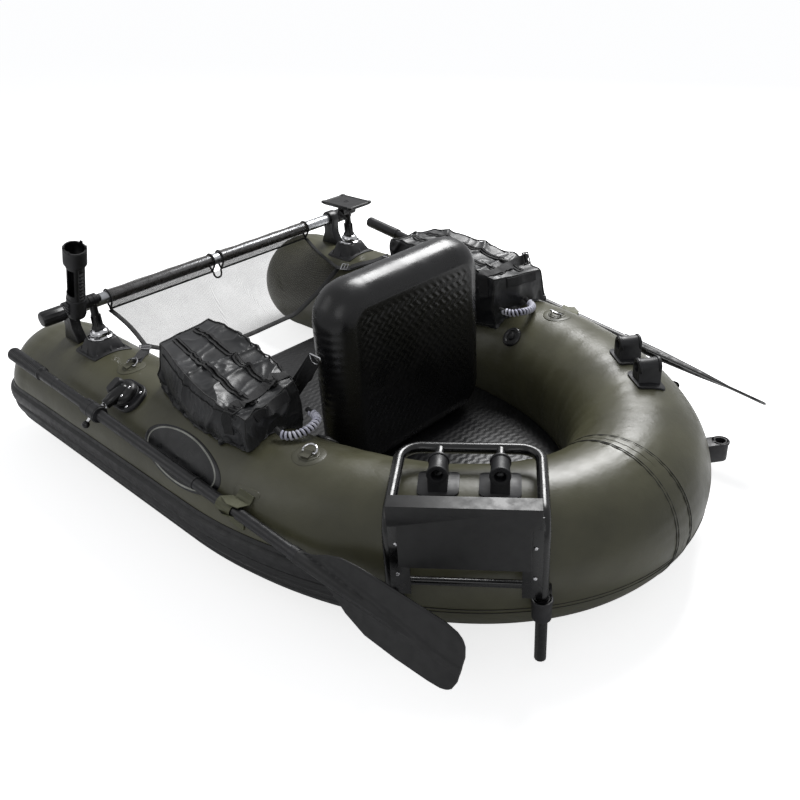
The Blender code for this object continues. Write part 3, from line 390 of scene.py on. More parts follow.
def smooth_path(points, step=0.006):
    """Catmull-Rom curve through the points, resampled about every step metres."""
    pts = [Vector(p) for p in points]
    pts = [pts[0] * 2 - pts[1]] + pts + [pts[-1] * 2 - pts[-2]]
    out = []
    for a, b, c, d in zip(pts, pts[1:], pts[2:], pts[3:]):
        count = max(2, int((c - b).length / step))
        for k in range(count):
            t = k / count
            out.append(0.5 * (b * 2 + (c - a) * t + (a * 2 - b * 5 + c * 4 - d) * t ** 2
                              + (b * 3 - a - c * 3 + d) * t ** 3))
    out.append(pts[-2])
    return out


def tape(path, normals, width, thick, number=0, edge=0.0006):
    """Flat webbing along a path; each normal is the way its face looks."""
    tangents, _ = frames(path)
    half, t2 = width / 2, thick / 2
    section = [(-half, -t2 + edge), (-half + edge, -t2), (half - edge, -t2), (half, -t2 + edge),
               (half, t2 - edge), (half - edge, t2), (-half + edge, t2), (-half, t2 - edge)]
    rings = []
    for p, t, n in zip(path, tangents, normals):
        n = (n - t * n.dot(t)).normalized()
        s = t.cross(n)
        rings.append([p + s * x + n * y for x, y in section])
    return skin(rings, number=number)


def spread(values, count):
    """Values of a short list of vectors, read off at count even places."""
    out = []
    for k in range(count):
        f = k / max(count - 1, 1) * (len(values) - 1)
        i = min(int(f), len(values) - 2)
        out.append(values[i].lerp(values[i + 1], f - i).normalized())
    return out


def band(points, normals, width, thick, number=0, step=0.006):
    """Webbing through a few points, smoothed, with its facing given at a few places."""
    path = smooth_path(points, step)
    return tape(path, spread([Vector(n) for n in normals], len(path)), width, thick, number)


def outline(w, h, r, steps=6):
    """Counter-clockwise rounded rectangle."""
    pts = []
    for cx, cy, a0 in ((w / 2 - r, h / 2 - r, 0), (r - w / 2, h / 2 - r, 90),
                       (r - w / 2, r - h / 2, 180), (w / 2 - r, r - h / 2, 270)):
        for k in range(steps + 1):
            a = math.radians(a0 + 90 * k / steps)
            pts.append((cx + r * math.cos(a), cy + r * math.sin(a)))
    return pts


def stack(centre, u, v, w, layers, number=0):
    """Part from outlines at heights along w."""
    return skin([[centre + u * x + v * y + w * h for x, y in pts] for h, pts in layers], number=number)


def brick(centre, u, v, w, size, round_r=0.0015, number=0):
    """Box with eased edges."""
    a, b, c = size
    full, less = outline(a, b, round_r * 1.6, 3), outline(a - 2 * round_r, b - 2 * round_r, round_r, 3)
    return stack(centre, u, v, w, [(-c / 2, less), (-c / 2 + round_r, full), (c / 2 - round_r, full),
                                   (c / 2, less)], number)


def screw_head(at, out, radius, number=0):
    """Pan head with a shallow socket."""
    return turned(at, out, [(0, radius), (radius * 0.35, radius), (radius * 0.6, radius * 0.8),
                            (radius * 0.7, radius * 0.45), (radius * 0.45, radius * 0.4)], 16, number)


# hull form
def bend(deg):
    """Station of the stern bend: centre of the port tube and its outward direction."""
    t = math.radians(deg)
    c = Vector((HALF_TRACK * math.cos(t), BEND_Y + STERN_DEPTH * math.sin(t), TUBE_R))
    return c, Vector((math.cos(t) / HALF_TRACK, math.sin(t) / STERN_DEPTH, 0)).normalized()


def station(y):
    """Station of the port tube at y, straight or on the bend."""
    if y <= BEND_Y:
        return Vector((HALF_TRACK, y, TUBE_R)), X.copy()
    return bend(math.degrees(math.asin(min(1.0, (y - BEND_Y) / STERN_DEPTH))))


def flip(p, s):
    return Vector((p[0] * s, p[1], p[2]))


def on_hull(y, deg, s=1.0, h=0.0):
    """Point h off the skin at deg round the section, and the way out there."""
    c, n = station(y)
    out = n * math.cos(math.radians(deg)) + Z * math.sin(math.radians(deg))
    return flip(c + out * (TUBE_R + h), s), flip(out, s)


def hull_frame(y, deg, s):
    """On the skin: point, across (down the outer side), along (to the stern), outward."""
    c, n = station(y)
    a = math.radians(deg)
    out = n * math.cos(a) + Z * math.sin(a)
    across = n * math.sin(a) - Z * math.cos(a)
    along = Vector((-n.y, n.x, 0))
    return flip(c + out * TUBE_R, s), flip(across, s), flip(along, s), flip(out, s)


def falloff(x, width):
    return math.exp(-(x / width) ** 2)


# creases of the inner bend: angle of the bend, depth in mm, width in degrees
CREASES = ((14, 1.6, 1.7), (21, 2.6, 1.6), (27.5, 1.8, 1.4), (34, 3.0, 1.7), (41, 2.2, 1.5), (47, 3.2, 1.8),
           (55, 2.4, 1.5), (61, 1.6, 1.6), (69, 2.2, 1.9), (77, 1.2, 1.7))
SEAM_W = 0.034


def hull_tube(tag, s):
    """Air chamber: round dome, straight side and half the stern, with the creases of its inner
    bend, the overlap of its bow and stern seams and the puckers beside them."""
    sides, arc_steps = 112, 120
    rows = []
    for k in range(14):
        a = math.radians(88.5 * (1 - k / 14))
        rows.append((Vector((HALF_TRACK, BOW_Y - TUBE_R * math.sin(a), TUBE_R)), X, math.cos(a), None))
    straight = 84
    rows += [(Vector((HALF_TRACK, BOW_Y + (BEND_Y - BOW_Y) * k / straight, TUBE_R)), X, 1.0, None)
             for k in range(straight)]
    for k in range(arc_steps + 1):
        c, n = bend(90 * k / arc_steps)
        if k == arc_steps:
            c.x = 0.0
        rows.append((c, n, 1.0, 90 * k / arc_steps))
    rings = []
    for c, n, scale, turn in rows:
        ring = []
        for k in range(sides):
            deg = 360.0 * k / sides
            a = math.radians(deg)
            out = n * math.cos(a) + Z * math.sin(a)
            h = 0.0
            if turn is not None:
                inner = falloff(((deg - 168) + 180) % 360 - 180, 62)
                for at, depth, width in CREASES:
                    slant = at + 2.2 * math.sin(math.radians(deg) * 1.3 + at)
                    h -= depth / 2200 * inner * falloff(turn - slant, width)
                    h += depth / 6000 * inner * falloff(turn - slant - width * 1.7, width)
                # stern seam: a cover strip with a pucker beside it
                gap = abs(c.x) - SEAM_W / 2
                h += 0.0007 / (1 + math.exp(gap / 0.0012))
                h += 0.0005 * math.sin(deg * 0.62) * falloff(max(gap, 0), 0.030)
            bow = c.y - BOW_Y
            if scale == 1.0 and turn is None:
                h += 0.0006 / (1 + math.exp((bow - SEAM_W * 0.7) / 0.0012))
            h += 0.0006 * math.sin(deg * 0.55 + 1) * falloff(bow - SEAM_W * 0.7, 0.035)
            p = c + out * (TUBE_R * scale)
            h += 0.0011 * noise.noise(p * 6.0 + Vector((s * 7, 0, 0)))
            p += out * (h * scale)
            p.z = max(p.z, 0.0)
            ring.append(flip(p, s))
        rings.append(ring)
    ob = piece("hull_skin_" + tag, [skin(rings)], "hull")
    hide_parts("hull_tube_" + tag)


# rub strake across its width: share of the way down, height in mm
STRAKE = ((0.0, 0.6), (0.015, 1.4), (0.07, 1.5), (0.085, 5.0), (0.105, 8.6), (0.15, 10.6), (0.20, 11.0),
          (0.25, 10.6), (0.285, 8.4), (0.30, 4.6), (0.345, 4.4), (0.36, 7.6), (0.385, 9.8), (0.43, 10.4),
          (0.475, 9.8), (0.50, 7.4), (0.515, 4.2), (0.555, 4.0), (0.57, 6.6), (0.595, 8.4), (0.64, 8.8),
          (0.685, 8.2), (0.705, 6.0), (0.72, 3.4), (0.76, 3.2), (0.775, 4.6), (0.80, 5.4), (0.84, 5.6),
          (0.875, 5.0), (0.89, 1.6), (0.97, 1.4), (1.0, 0.5))
STRAKE_TOP_DEG, STRAKE_BOTTOM_DEG, STRAKE_END_DEG = 11.25, -45.0, 34.0


def rub_strake(tag, s):
    """Extruded rubber rubbing band glued round the outer side, from the bow to the quarter."""
    span = STRAKE_TOP_DEG - STRAKE_BOTTOM_DEG
    rows = []
    for k in range(10):
        a = math.radians(52 * (1 - k / 10))
        rows.append((Vector((HALF_TRACK, BOW_Y - TUBE_R * math.sin(a), TUBE_R)), X, math.cos(a), math.sin(a)))
    rows += [(Vector((HALF_TRACK, BOW_Y + (BEND_Y - BOW_Y) * k / 40, TUBE_R)), X, 1.0, 0.0) for k in range(40)]
    ends = 46
    rows += [(*bend(STRAKE_END_DEG * k / ends), 1.0, 0.0) for k in range(ends + 1)]
    rings = []
    for k, (c, n, scale, slope) in enumerate(rows):
        ease = min(1.0, 0.30 + 0.28 * min(k, len(rows) - 1 - k))
        ring = []
        for share, high in STRAKE:
            a = math.radians(STRAKE_TOP_DEG - span * share)
            out = n * math.cos(a) + Z * math.sin(a)
            h = high / 1000 * ease + 0.0008
            ring.append(flip(c + out * (TUBE_R + h) * scale - Y * (h * slope), s))
        for share in (1.0, 0.75, 0.5, 0.25, 0.0):
            a = math.radians(STRAKE_TOP_DEG - span * share)
            out = n * math.cos(a) + Z * math.sin(a)
            ring.append(flip(c + out * (TUBE_R - 0.004) * scale, s))
        rings.append(ring)
    ob = piece("strake_" + tag, [skin(rings)], "strake", sharp=32)
    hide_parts("rub_strake_" + tag)


for side_name, sign in SIDES:
    hull_tube(side_name, sign)
    rub_strake(side_name, sign)


# embossed relief: zigzag ribs, spacing across them and zigzag length along them
RIB_SPACING, ZIGZAG_LENGTH, ZIGZAG_SWING, RELIEF = 0.0205, 0.0255, 0.0062, 0.0009


def zigzag(across, along, spacing=RIB_SPACING, length=ZIGZAG_LENGTH, swing=ZIGZAG_SWING):
    """Height share, 0 to 1, of ribs that zigzag as they run along."""
    phase = (along / length) % 1.0
    shifted = across + swing * (4 * abs(phase - 0.5) - 1)
    wave = 0.5 + 0.5 * math.cos(2 * math.pi * shifted / spacing)
    return wave ** 1.5


def cushion_row(z, half_w, half_h, r):
    """Half width of a rounded rectangle at height z."""
    over = abs(z) - (half_h - r)
    return half_w if over <= 0 else half_w - r + math.sqrt(max(0.0, r * r - over * over))


BACK_W, BACK_H, BACK_CORNER, BACK_RIM = 0.470, 0.455, 0.085, 0.050


def backrest():
    """Drop-stitch back cushion: full round gloss rim, welded line, zigzag ribs pressed in both faces."""
    lo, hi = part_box("backrest")
    centre = (lo + hi) / 2
    thick = hi.y - lo.y
    columns = rows = 150
    half_w, half_h = BACK_W / 2 - BACK_RIM, BACK_H / 2 - BACK_RIM
    r_in = BACK_CORNER - BACK_RIM * 0.9
    margin = 0.016
    points, faces = [], []

    def face(front):
        base = len(points)
        y = -thick / 2 if front else thick / 2
        for i in range(rows):
            z = -half_h + 2 * half_h * i / (rows - 1)
            w = cushion_row(z, half_w, half_h, r_in)
            for j in range(columns):
                x = -w + 2 * w * j / (columns - 1)
                inside = min(w - abs(x), half_h - abs(z)) / margin
                fade = min(1.0, max(0.0, inside - 0.4))
                dip = RELIEF * (1 - zigzag(x, z)) * fade
                crown = 0.0025 * (1 - (x / half_w) ** 2) * (1 - (z / half_h) ** 2)
                points.append(centre + Vector((x, y - math.copysign(dip, y) + math.copysign(crown - 0.0022, y), z)))
        for i in range(rows - 1):
            for j in range(columns - 1):
                a = base + i * columns + j
                quad = (a, a + 1, a + 1 + columns, a + columns)
                faces.append(quad if front else quad[::-1])
        edge = [base + j for j in range(columns)]
        edge += [base + i * columns + columns - 1 for i in range(1, rows)]
        edge += [base + (rows - 1) * columns + j for j in range(columns - 2, -1, -1)]
        edge += [base + i * columns for i in range(rows - 2, 0, -1)]
        return edge

    first = face(True)
    last = face(False)
    core = (half_w - r_in, half_h - r_in)
    loops = [first]
    steps = 18
    for k in range(1, steps):
        a = math.radians(-90 + 180 * k / steps)
        inset = BACK_RIM * (1 - math.cos(a))
        radius = BACK_CORNER - inset * 0.9
        groove = 0.0013 * (falloff(k - 1.0, 0.9) + falloff(steps - 1 - k, 0.9))
        loop = []
        for index in first:
            p = points[index] - centre
            q = Vector((max(-core[0], min(core[0], p.x)), 0, max(-core[1], min(core[1], p.z))))
            d = Vector((p.x - q.x, 0, p.z - q.z)).normalized()
            grown = Vector(((BACK_W / 2 - inset - radius) * (1 if q.x > 0 else -1) if abs(q.x) >= core[0] - 1e-6
                            else q.x, 0, 0))
            grown.z = ((BACK_H / 2 - inset - radius) * (1 if q.z > 0 else -1) if abs(q.z) >= core[1] - 1e-6
                       else q.z)
            pucker = 0.0009 * math.sin(index * 0.55) * math.cos(a) ** 2 * falloff(abs(p.x) - half_w, 0.05)
            points.append(centre + grown + d * (radius - groove + pucker * 0.4) + Y * (thick / 2 * math.sin(a)))
            loop.append(len(points) - 1)
        loops.append(loop)
    loops.append(last)
    count = len(first)
    for a, b in zip(loops, loops[1:]):
        for k in range(count):
            faces.append((a[k], b[k], b[(k + 1) % count], a[(k + 1) % count]))
    ob = piece("back_cushion", [([tuple(p) for p in points], faces, 0)], "cushion", "backrest", 60)
    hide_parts("backrest")


backrest()

FLOOR_TOP_DEG, FLOOR_LOW_DEG, FLOOR_FRONT = 202.5, 247.5, -0.500


def floor_pad():
    """Air floor under the seat: zigzag ribs run across its top; its edge is clamped by the tubes."""
    lo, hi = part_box("floor_board")
    rows, columns = 300, 130
    front = FLOOR_FRONT + 0.004

    def half(y, deg):
        c, n = station(y)
        reach = TUBE_R * math.cos(math.radians(deg))
        # the tube's inner skin at that height, found along x on the bend too
        low, high = 0.0, HALF_TRACK
        target = abs(reach)
        for _ in range(26):
            mid = (low + high) / 2
            t = min((Vector((HALF_TRACK * math.cos(q), BEND_Y + STERN_DEPTH * math.sin(q), 0))
                     - Vector((mid, y, 0))).length for q in QUARTER) if y > BEND_Y - 0.2 else HALF_TRACK - mid
            if t > target:
                low = mid
            else:
                high = mid
        return low

    deepest = hi.y - 0.004
    ys = [front + (deepest - front) * k / (rows - 1) for k in range(rows)]
    knots = 60
    coarse = [front + (deepest - front) * k / (knots - 1) for k in range(knots)]
    halves = np.interp(ys, coarse, [half(y, FLOOR_TOP_DEG) for y in coarse])
    lows = np.interp(ys, coarse, [half(y, FLOOR_LOW_DEG) for y in coarse])
    rings = []
    for y, w, w0 in zip(ys, halves, lows):
        w, w0 = max(w, 0.004), min(max(w0, 0.003), w)
        nose = min(1.0, (y - front) / 0.035)
        drop = 0.030 * (1 - math.sqrt(max(0.0, 1 - (1 - nose) ** 2)))
        ring = []
        for j in range(columns):
            x = -w + 2 * w * j / (columns - 1)
            fade = min(1.0, max(0.0, min(w - abs(x), y - front - 0.02) / 0.014))
            h = RELIEF * zigzag(y, x, 0.0165, ZIGZAG_LENGTH, 0.0042) * fade
            ring.append(Vector((x, y, hi.z - RELIEF + h - drop)))
        ring.append(Vector((w0, y, lo.z + drop)))
        ring.append(Vector((-w0, y, lo.z + drop)))
        rings.append(ring)
    ob = piece("air_floor", [skin(rings)], "floor", sharp=60)
    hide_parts("floor_board")


QUARTER = [math.radians(k * 1.5) for k in range(61)]
floor_pad()
# soft goods
from mathutils.bvhtree import BVHTree


def surface(ob):
    """Search tree of an object's finished mesh."""
    mesh = ob.data
    return BVHTree.FromPolygons([v.co for v in mesh.vertices], [p.vertices for p in mesh.polygons])


def lay(points, tree, lift, step=0.005, facing=None):
    """A smooth path through points, laid on a surface; returns the path and the ways out."""
    path, outs = [], []
    for p in smooth_path(points, step):
        hit, normal, _, _ = tree.find_nearest(p)
        if facing and normal.dot(facing) < 0:
            normal = -normal
        path.append(hit + normal * lift)
        outs.append(normal)
    even = [path[0]] + [(a + b * 2 + c) / 4 for a, b, c in zip(path, path[1:], path[2:])] + [path[-1]]
    return even, outs


def rounded_cube(na, nb, nc, place, blunt):
    """Closed grid over the six faces of a cube, its corners drawn in, sent through place(a, b, c)."""
    index, points, faces = {}, [], []

    def point(i, j, k):
        key = (i, j, k)
        if key not in index:
            a, b, c = 2 * i / na - 1, 2 * j / nb - 1, 2 * k / nc - 1
            sa = math.sqrt(max(0.0, 1 - blunt * (b * b + c * c) / 2 + blunt * b * b * c * c / 3))
            sb = math.sqrt(max(0.0, 1 - blunt * (a * a + c * c) / 2 + blunt * a * a * c * c / 3))
            sc = math.sqrt(max(0.0, 1 - blunt * (a * a + b * b) / 2 + blunt * a * a * b * b / 3))
            index[key] = len(points)
            points.append(place(a * sa, b * sb, c * sc))
        return index[key]

    def sheet_of(n, m, put):
        for i in range(n):
            for j in range(m):
                faces.append((put(i, j), put(i + 1, j), put(i + 1, j + 1), put(i, j + 1)))

    sheet_of(na, nb, lambda i, j: point(i, j, 0))
    sheet_of(na, nb, lambda i, j: point(i, j, nc))
    sheet_of(na, nc, lambda i, k: point(i, 0, k))
    sheet_of(na, nc, lambda i, k: point(i, nb, k))
    sheet_of(nb, nc, lambda j, k: point(0, j, k))
    sheet_of(nb, nc, lambda j, k: point(na, j, k))
    return points, faces


def slack_cloth(ob, cap, steps, pressure, grow, stiff, bend_by, still=None):
    """Let a closed shell wrinkle as cloth, with no point moved further than the cap; the result is applied."""
    rest = [v.co.copy() for v in ob.data.vertices]
    cloth = ob.modifiers.new("cloth", "CLOTH")
    s = cloth.settings
    s.quality = 5
    s.mass = 0.12
    s.tension_stiffness = s.compression_stiffness = s.shear_stiffness = stiff
    s.bending_stiffness = bend_by
    s.use_pressure = True
    s.uniform_pressure_force = pressure
    s.shrink_min = -grow
    s.effector_weights.gravity = 0.35
    if still:
        s.vertex_group_mass = still
        s.pin_stiffness = 1.0
    cloth.point_cache.frame_start = 1
    cloth.point_cache.frame_end = steps
    for k in range(1, steps + 1):
        bpy.context.scene.frame_set(k)
    done = ob.evaluated_get(bpy.context.evaluated_depsgraph_get()).data
    moved = [v.co.copy() for v in done.vertices]
    ob.modifiers.remove(cloth)
    for v, a, b in zip(ob.data.vertices, rest, moved):
        d = b - a
        far = d.length
        v.co = a + d * (cap * math.tanh(far / cap) / far) if far > 1e-9 else a
    bpy.context.scene.frame_set(1)


def refine(ob, levels=1):
    """Subdivide the mesh and keep the result."""
    mod = ob.modifiers.new("fine", "SUBSURF")
    mod.levels = levels
    mesh = bpy.data.meshes.new_from_object(ob.evaluated_get(bpy.context.evaluated_depsgraph_get()))
    ob.modifiers.remove(mod)
    old = ob.data
    ob.data = mesh
    mesh.name = old.name
    bpy.data.meshes.remove(old)
    mesh.shade_smooth()


# gear bag: place along it, inner and outer edge, height of its inner and outer top edge, low edge
BAG = ((-1.00, 0.281, 0.452, 0.432, 0.428, 0.262), (-0.55, 0.279, 0.474, 0.436, 0.421, 0.256),
       (0.00, 0.283, 0.490, 0.424, 0.404, 0.254), (0.55, 0.291, 0.494, 0.404, 0.386, 0.256),
       (1.00, 0.299, 0.478, 0.386, 0.374, 0.262))
# ends of the bag at its inner and outer edge
BAG_FRONT, BAG_BACK = (-0.226, -0.206), (0.150, 0.180)


def over_tube(x, h):
    """Height of the tube's skin grown by h, at a distance x from the middle; nothing beside it."""
    dx = abs(x) - HALF_TRACK
    r = TUBE_R + h
    return TUBE_R + math.sqrt(r * r - dx * dx) if abs(dx) < r else 0.0


def bag_place(s):
    """Where a point of the bag's cube goes, sitting on the tube's skin."""
    places = [row[0] for row in BAG]

    # the starboard bag is packed fuller and sits a little further aft
    lift, aft, wide = (0.020, 0.018, 0.012) if s < 0 else (0.0, 0.0, 0.0)

    def place(a, b, c):
        inner, outer, high_in, high_out, low = (float(np.interp(b, places, [row[k] for row in BAG]))
                                                for k in range(1, 6))
        inner, outer, high_in, high_out = inner + wide, outer + wide, high_in + lift, high_out + lift
        share, up, on = (a + 1) / 2, (c + 1) / 2, (b + 1) / 2
        front = BAG_FRONT[0] + (BAG_FRONT[1] - BAG_FRONT[0]) * share
        back = BAG_BACK[0] + (BAG_BACK[1] - BAG_BACK[0]) * share
        y = front + (back - front) * on + aft
        x = inner + (outer - inner) * share
        top = high_in + (high_out - high_in) * share
        floor = max(low, over_tube(x, 0.0015))
        z = floor + (top - floor) * up - 0.006 * (1 - a * a) * (1 - b * b) * up
        x += (0.008 * up - 0.006 * math.sin(math.pi * up)) * (1 - 2 * share)
        return Vector((s * x, y + 0.010 * up * (1 if b < 0 else -1) * abs(b), z))
    return place


def creased(p, seed):
    """Crushed-nylon relief in metres at a point: long sharp folds across the bag, small ones between."""
    q = Vector((p.x * 3.6 + seed, p.y * 14.0, p.z * 3.4))
    q += noise.noise_vector(p * 7.0) * 0.9
    long_folds = (1 - abs(noise.noise(q))) ** 8
    r = Vector((p.x * 9.0, p.y * 36.0, p.z * 9.0)) + noise.noise_vector(p * 13.0) * 1.3
    small = (1 - abs(noise.noise(r + Vector((seed, 0, 0))))) ** 6
    return 0.0085 * long_folds + 0.0022 * small - 0.0026


def bag_shell(tag, s):
    """Soft case of calendered nylon: shell of a cut pattern, left slack, and wrinkled as cloth."""
    place = bag_place(s)
    points, faces = rounded_cube(30, 54, 22, place, 0.14)
    ob = piece("bag_shell_" + tag, [([tuple(p) for p in points], faces, 0)], "bag", "hull", 180)
    held = ob.vertex_groups.new(name="held")
    for v in ob.data.vertices:
        held.add([v.index], 1.0 if v.co.z < over_tube(v.co.x, 0.004) else 0.0, "REPLACE")
    slack_cloth(ob, 0.015, 24, 0.5, 0.11, 12.0, 0.03, "held")
    refine(ob)
    normals = [v.normal.copy() for v in ob.data.vertices]
    for v, n in zip(ob.data.vertices, normals):
        v.co += n * creased(v.co, s * 5.0)
        v.co.z = max(v.co.z, over_tube(v.co.x, 0.0012))
    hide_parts("bag_" + tag)
    bag_trim(tag, s, place, surface(ob))
    return ob


def bag_trim(tag, s, place, tree):
    """Edge piping, two zips under the top, a pocket seam, webbing with its buckle, all on the bag's cloth."""
    def line(*abc, lift=0.0008, step=0.005):
        return lay([place(*p) for p in abc], tree, lift, step)

    e = 0.97
    piping = [(-e, -e, 1), (-e, 0, 1), (-e, e, 1), (0, e, 1), (e, e, 1), (e, 0, 1), (e, -e, 1), (0, -e, 1)]
    corners = []
    for k, p in enumerate(piping):
        q = piping[(k + 1) % len(piping)]
        corners += [tuple(a + (b - a) * f for a, b in zip(p, q)) for f in (0.0, 0.33, 0.67)]
    parts = [cable(lay([place(*p) for p in corners + corners[:1]], tree, 0.0006)[0], 0.0019, 8)]
    for a, b in ((e, -e), (-e, -e), (e, e), (-e, e)):
        parts.append(cable(line((a, b, 0.9), (a, b, 0.3), (a, b, -0.3), (a, b, -0.75))[0], 0.0016, 8))
    parts.append(cable(line((1, -0.85, 0.55), (1, -0.4, 0.50), (1, 0.2, 0.52), (1, 0.85, 0.56))[0], 0.0013, 6))
    for rim in (0.98, -0.98):
        parts.append(cable(line((rim, -0.9, -0.86), (rim, 0, -0.86), (rim, 0.9, -0.86))[0], 0.0015, 6))
    trim = piece("bag_piping_" + tag, parts, "piping", "hull", 60)
    zips = []
    for a in (-0.36, 0.34):
        path, outs = line((a, -0.86, 1), (a, -0.3, 1), (a, 0.3, 1), (a, 0.84, 1))
        zips.append(tape(path, outs, 0.016, 0.0010, 1))
        for shift in (-0.0078, 0.0078):
            edge = [p + X * shift + n * 0.0006 for p, n in zip(path, outs)]
            zips.append(cable(edge, 0.0009, 6, number=1))
        coil = []
        for k in range(len(path) - 1):
            for m in range(6):
                f = m / 6
                p, n = path[k].lerp(path[k + 1], f), outs[k]
                coil.append(p + n * (0.0012 + 0.0005 * (m % 2)) + X * (0.0018 if m % 2 else -0.0018))
        zips.append(cable(coil, 0.0008, 5, number=0))
        at, out = path[int(len(path) * 0.86)], outs[int(len(path) * 0.86)]
        along = (path[5] - path[0]).normalized()
        zips.append(brick(at + out * 0.0030, out.cross(along), along, out, (0.0085, 0.012, 0.0036), 0.0012, 0))
        zips.append(brick(at + out * 0.0044 - along * 0.016, out.cross(along), along, out,
                          (0.006, 0.022, 0.0018), 0.0008, 0))
    piece("bag_zips_" + tag, zips, ("zip", "web"), "hull", 40)
    straps = []
    path, outs = line((1, 0.70, -0.35), (1, 0.70, 0.3), (1, 0.70, 0.95), (0.4, 0.72, 1), (-0.4, 0.74, 1),
                      (-0.98, 0.76, 0.9), (-1, 0.78, 0.1), lift=0.0022)
    straps.append(tape(path, outs, 0.024, 0.0020, 1))
    path, outs = line((-0.5, 1, 0.55), (0, 1, 0.5), (0.6, 1, 0.45), lift=0.0020)
    straps.append(tape(path, outs, 0.024, 0.0018, 1))
    at, normal, _, _ = tree.find_nearest(place(0.86, 0.72, 1))
    along = (place(0.5, 0.72, 1) - place(1, 0.70, 0.9)).normalized()
    across = normal.cross(along).normalized()
    for m in (-0.011, 0.0, 0.011):
        straps.append(brick(at + normal * 0.0058 + along * m, across, along, normal, (0.031, 0.0034, 0.0034),
                            0.0010, 0))
    for m in (-0.0145, 0.0145):
        straps.append(brick(at + normal * 0.0052 + across * m, across, along, normal, (0.0034, 0.026, 0.0036),
                            0.0010, 0))
    piece("bag_straps_" + tag, straps, ("plastic", "web"), "hull", 40)
    return trim


def bag_handle(tag, s):
    """Carrying loop at the bag's aft face: webbing core wound with white cord."""
    path = smooth_path([flip(p, s) for p in ((0.410, 0.176, 0.322), (0.409, 0.192, 0.314), (0.396, 0.211, 0.312),
                                             (0.366, 0.222, 0.316), (0.338, 0.216, 0.319), (0.322, 0.196, 0.317),
                                             (0.318, 0.162, 0.322))], 0.0012)
    tangents, normals = frames(path)
    core = cable(path[::4], 0.0056, 10, number=1)
    wound = []
    length = 0.0
    for k in range(14, len(path) - 14):
        length += (path[k] - path[k - 1]).length
        a = 2 * math.pi * length / 0.0086
        side = tangents[k].cross(normals[k])
        for m in range(2):
            b = a + m * 2 * math.pi * 0.0012 / 0.0086 / 2
            p = path[k].lerp(path[k + 1], m / 2)
            wound.append(p + (normals[k] * math.cos(b) + side * math.sin(b)) * 0.0070)
    ob = piece("carry_loop_" + tag, [core, cable(wound, 0.0027, 8, number=0)], ("wrap", "web"), "hull", 60)
    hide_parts("bag_handle_" + tag)


for side_name, sign in SIDES:
    bag_shell(side_name, sign)
    bag_handle(side_name, sign)


# crossbar sleeves and lap net
BAR_Y, BAR_Z, BAR_R = -0.602, 0.380, 0.0160
SLEEVE_SPANS = {"port": (0.010, 0.335), "starboard": (-0.335, -0.016)}
SLEEVE_HEM_Z, SLEEVE_CLOTH = 0.3478, 0.0007
PIPING_R = 0.0027


def sleeve_loop(x, grow=0.0, count=40):
    """Section of a sleeve: round the bar, then drawn together at the hem below it."""
    r = BAR_R + 0.0016 + grow
    hem = BAR_Z - SLEEVE_HEM_Z + grow
    loop = []
    for k in range(count):
        a = 2 * math.pi * k / count
        low = max(0.0, -math.sin(a))
        y = r * math.cos(a) * (1 - 0.80 * low ** 5)
        z = r * math.sin(a) - (hem - r) * low ** 4
        wave = 0.0006 * math.sin(x * 70 + a * 2) + 0.0008 * noise.noise(Vector((x * 22, math.cos(a), math.sin(a))))
        loop.append(Vector((x, BAR_Y + y * (1 + wave * 20), BAR_Z + z + wave * (1 - low))))
    return loop


def mesh_sleeve(tag):
    """Dark mesh cloth round the bar, one layer, with bound ends and a bound hem."""
    x0, x1 = SLEEVE_SPANS[tag]
    count = 64
    xs = [x0 + (x1 - x0) * k / count for k in range(count + 1)]
    rings = [sleeve_loop(x) for x in xs]
    cloth = piece("sleeve_cloth_" + tag, [skin(rings, ends=False)], "sleeve", "hull", 180)
    solid = cloth.modifiers.new("cloth_thickness", "SOLIDIFY")
    solid.thickness = SLEEVE_CLOTH
    solid.offset = 1.0
    binding = [cable(sleeve_loop(x, 0.0012), PIPING_R, 8, True) for x in (x0 + 0.002, x1 - 0.002)]
    binding.append(cable([Vector((x, BAR_Y, SLEEVE_HEM_Z - 0.0012)) for x in xs], PIPING_R, 8))
    trim = piece("sleeve_binding_" + tag, binding, "piping", "hull", 60)
    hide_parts("mesh_sleeve_" + tag)


# rear hem of the net: height at a distance from the middle, as the frame has it
NET_REAR_Y, NET_TOP_Z, NET_SAG = -0.460, 0.3440, 0.012
NET_REAR = ((0.0, 0.158, 0.262, 0.331), (0.193, 0.196, 0.241, 0.282))


def net_point(f, g):
    """Point of the net: f from the bar to the rear hem, g from starboard to port."""
    rear_half = NET_REAR[0][-1]
    half = 0.335 + (rear_half - 0.335) * f
    rear = float(np.interp(abs(g) * rear_half, *NET_REAR))
    sag = NET_SAG * math.sin(math.pi * f) * (1 - g * g)
    x = half * g * (1 - 0.02 * math.sin(math.pi * f) * abs(g))
    p = Vector((x, BAR_Y + (NET_REAR_Y - BAR_Y) * f, NET_TOP_Z + (rear - NET_TOP_Z) * f - sag))
    drag = math.sin(math.pi * f) * (1 - 0.4 * abs(g))
    fold = 0.0
    for at, lean, deep, wide in ((-0.52, 0.18, 3.2, 0.020), (-0.20, -0.12, 2.6, 0.016), (0.14, 0.10, 3.6, 0.018),
                                 (0.47, -0.16, 2.8, 0.022), (0.70, 0.05, 2.4, 0.018)):
        fold += deep / 1000 * falloff(g - at - lean * (f - 0.5), wide)
    ripple = 0.0016 * noise.noise(Vector((g * 5, f * 2.2, 0.3)))
    return p + Vector((0, 0.66, 0.75)) * ((fold + ripple) * drag)


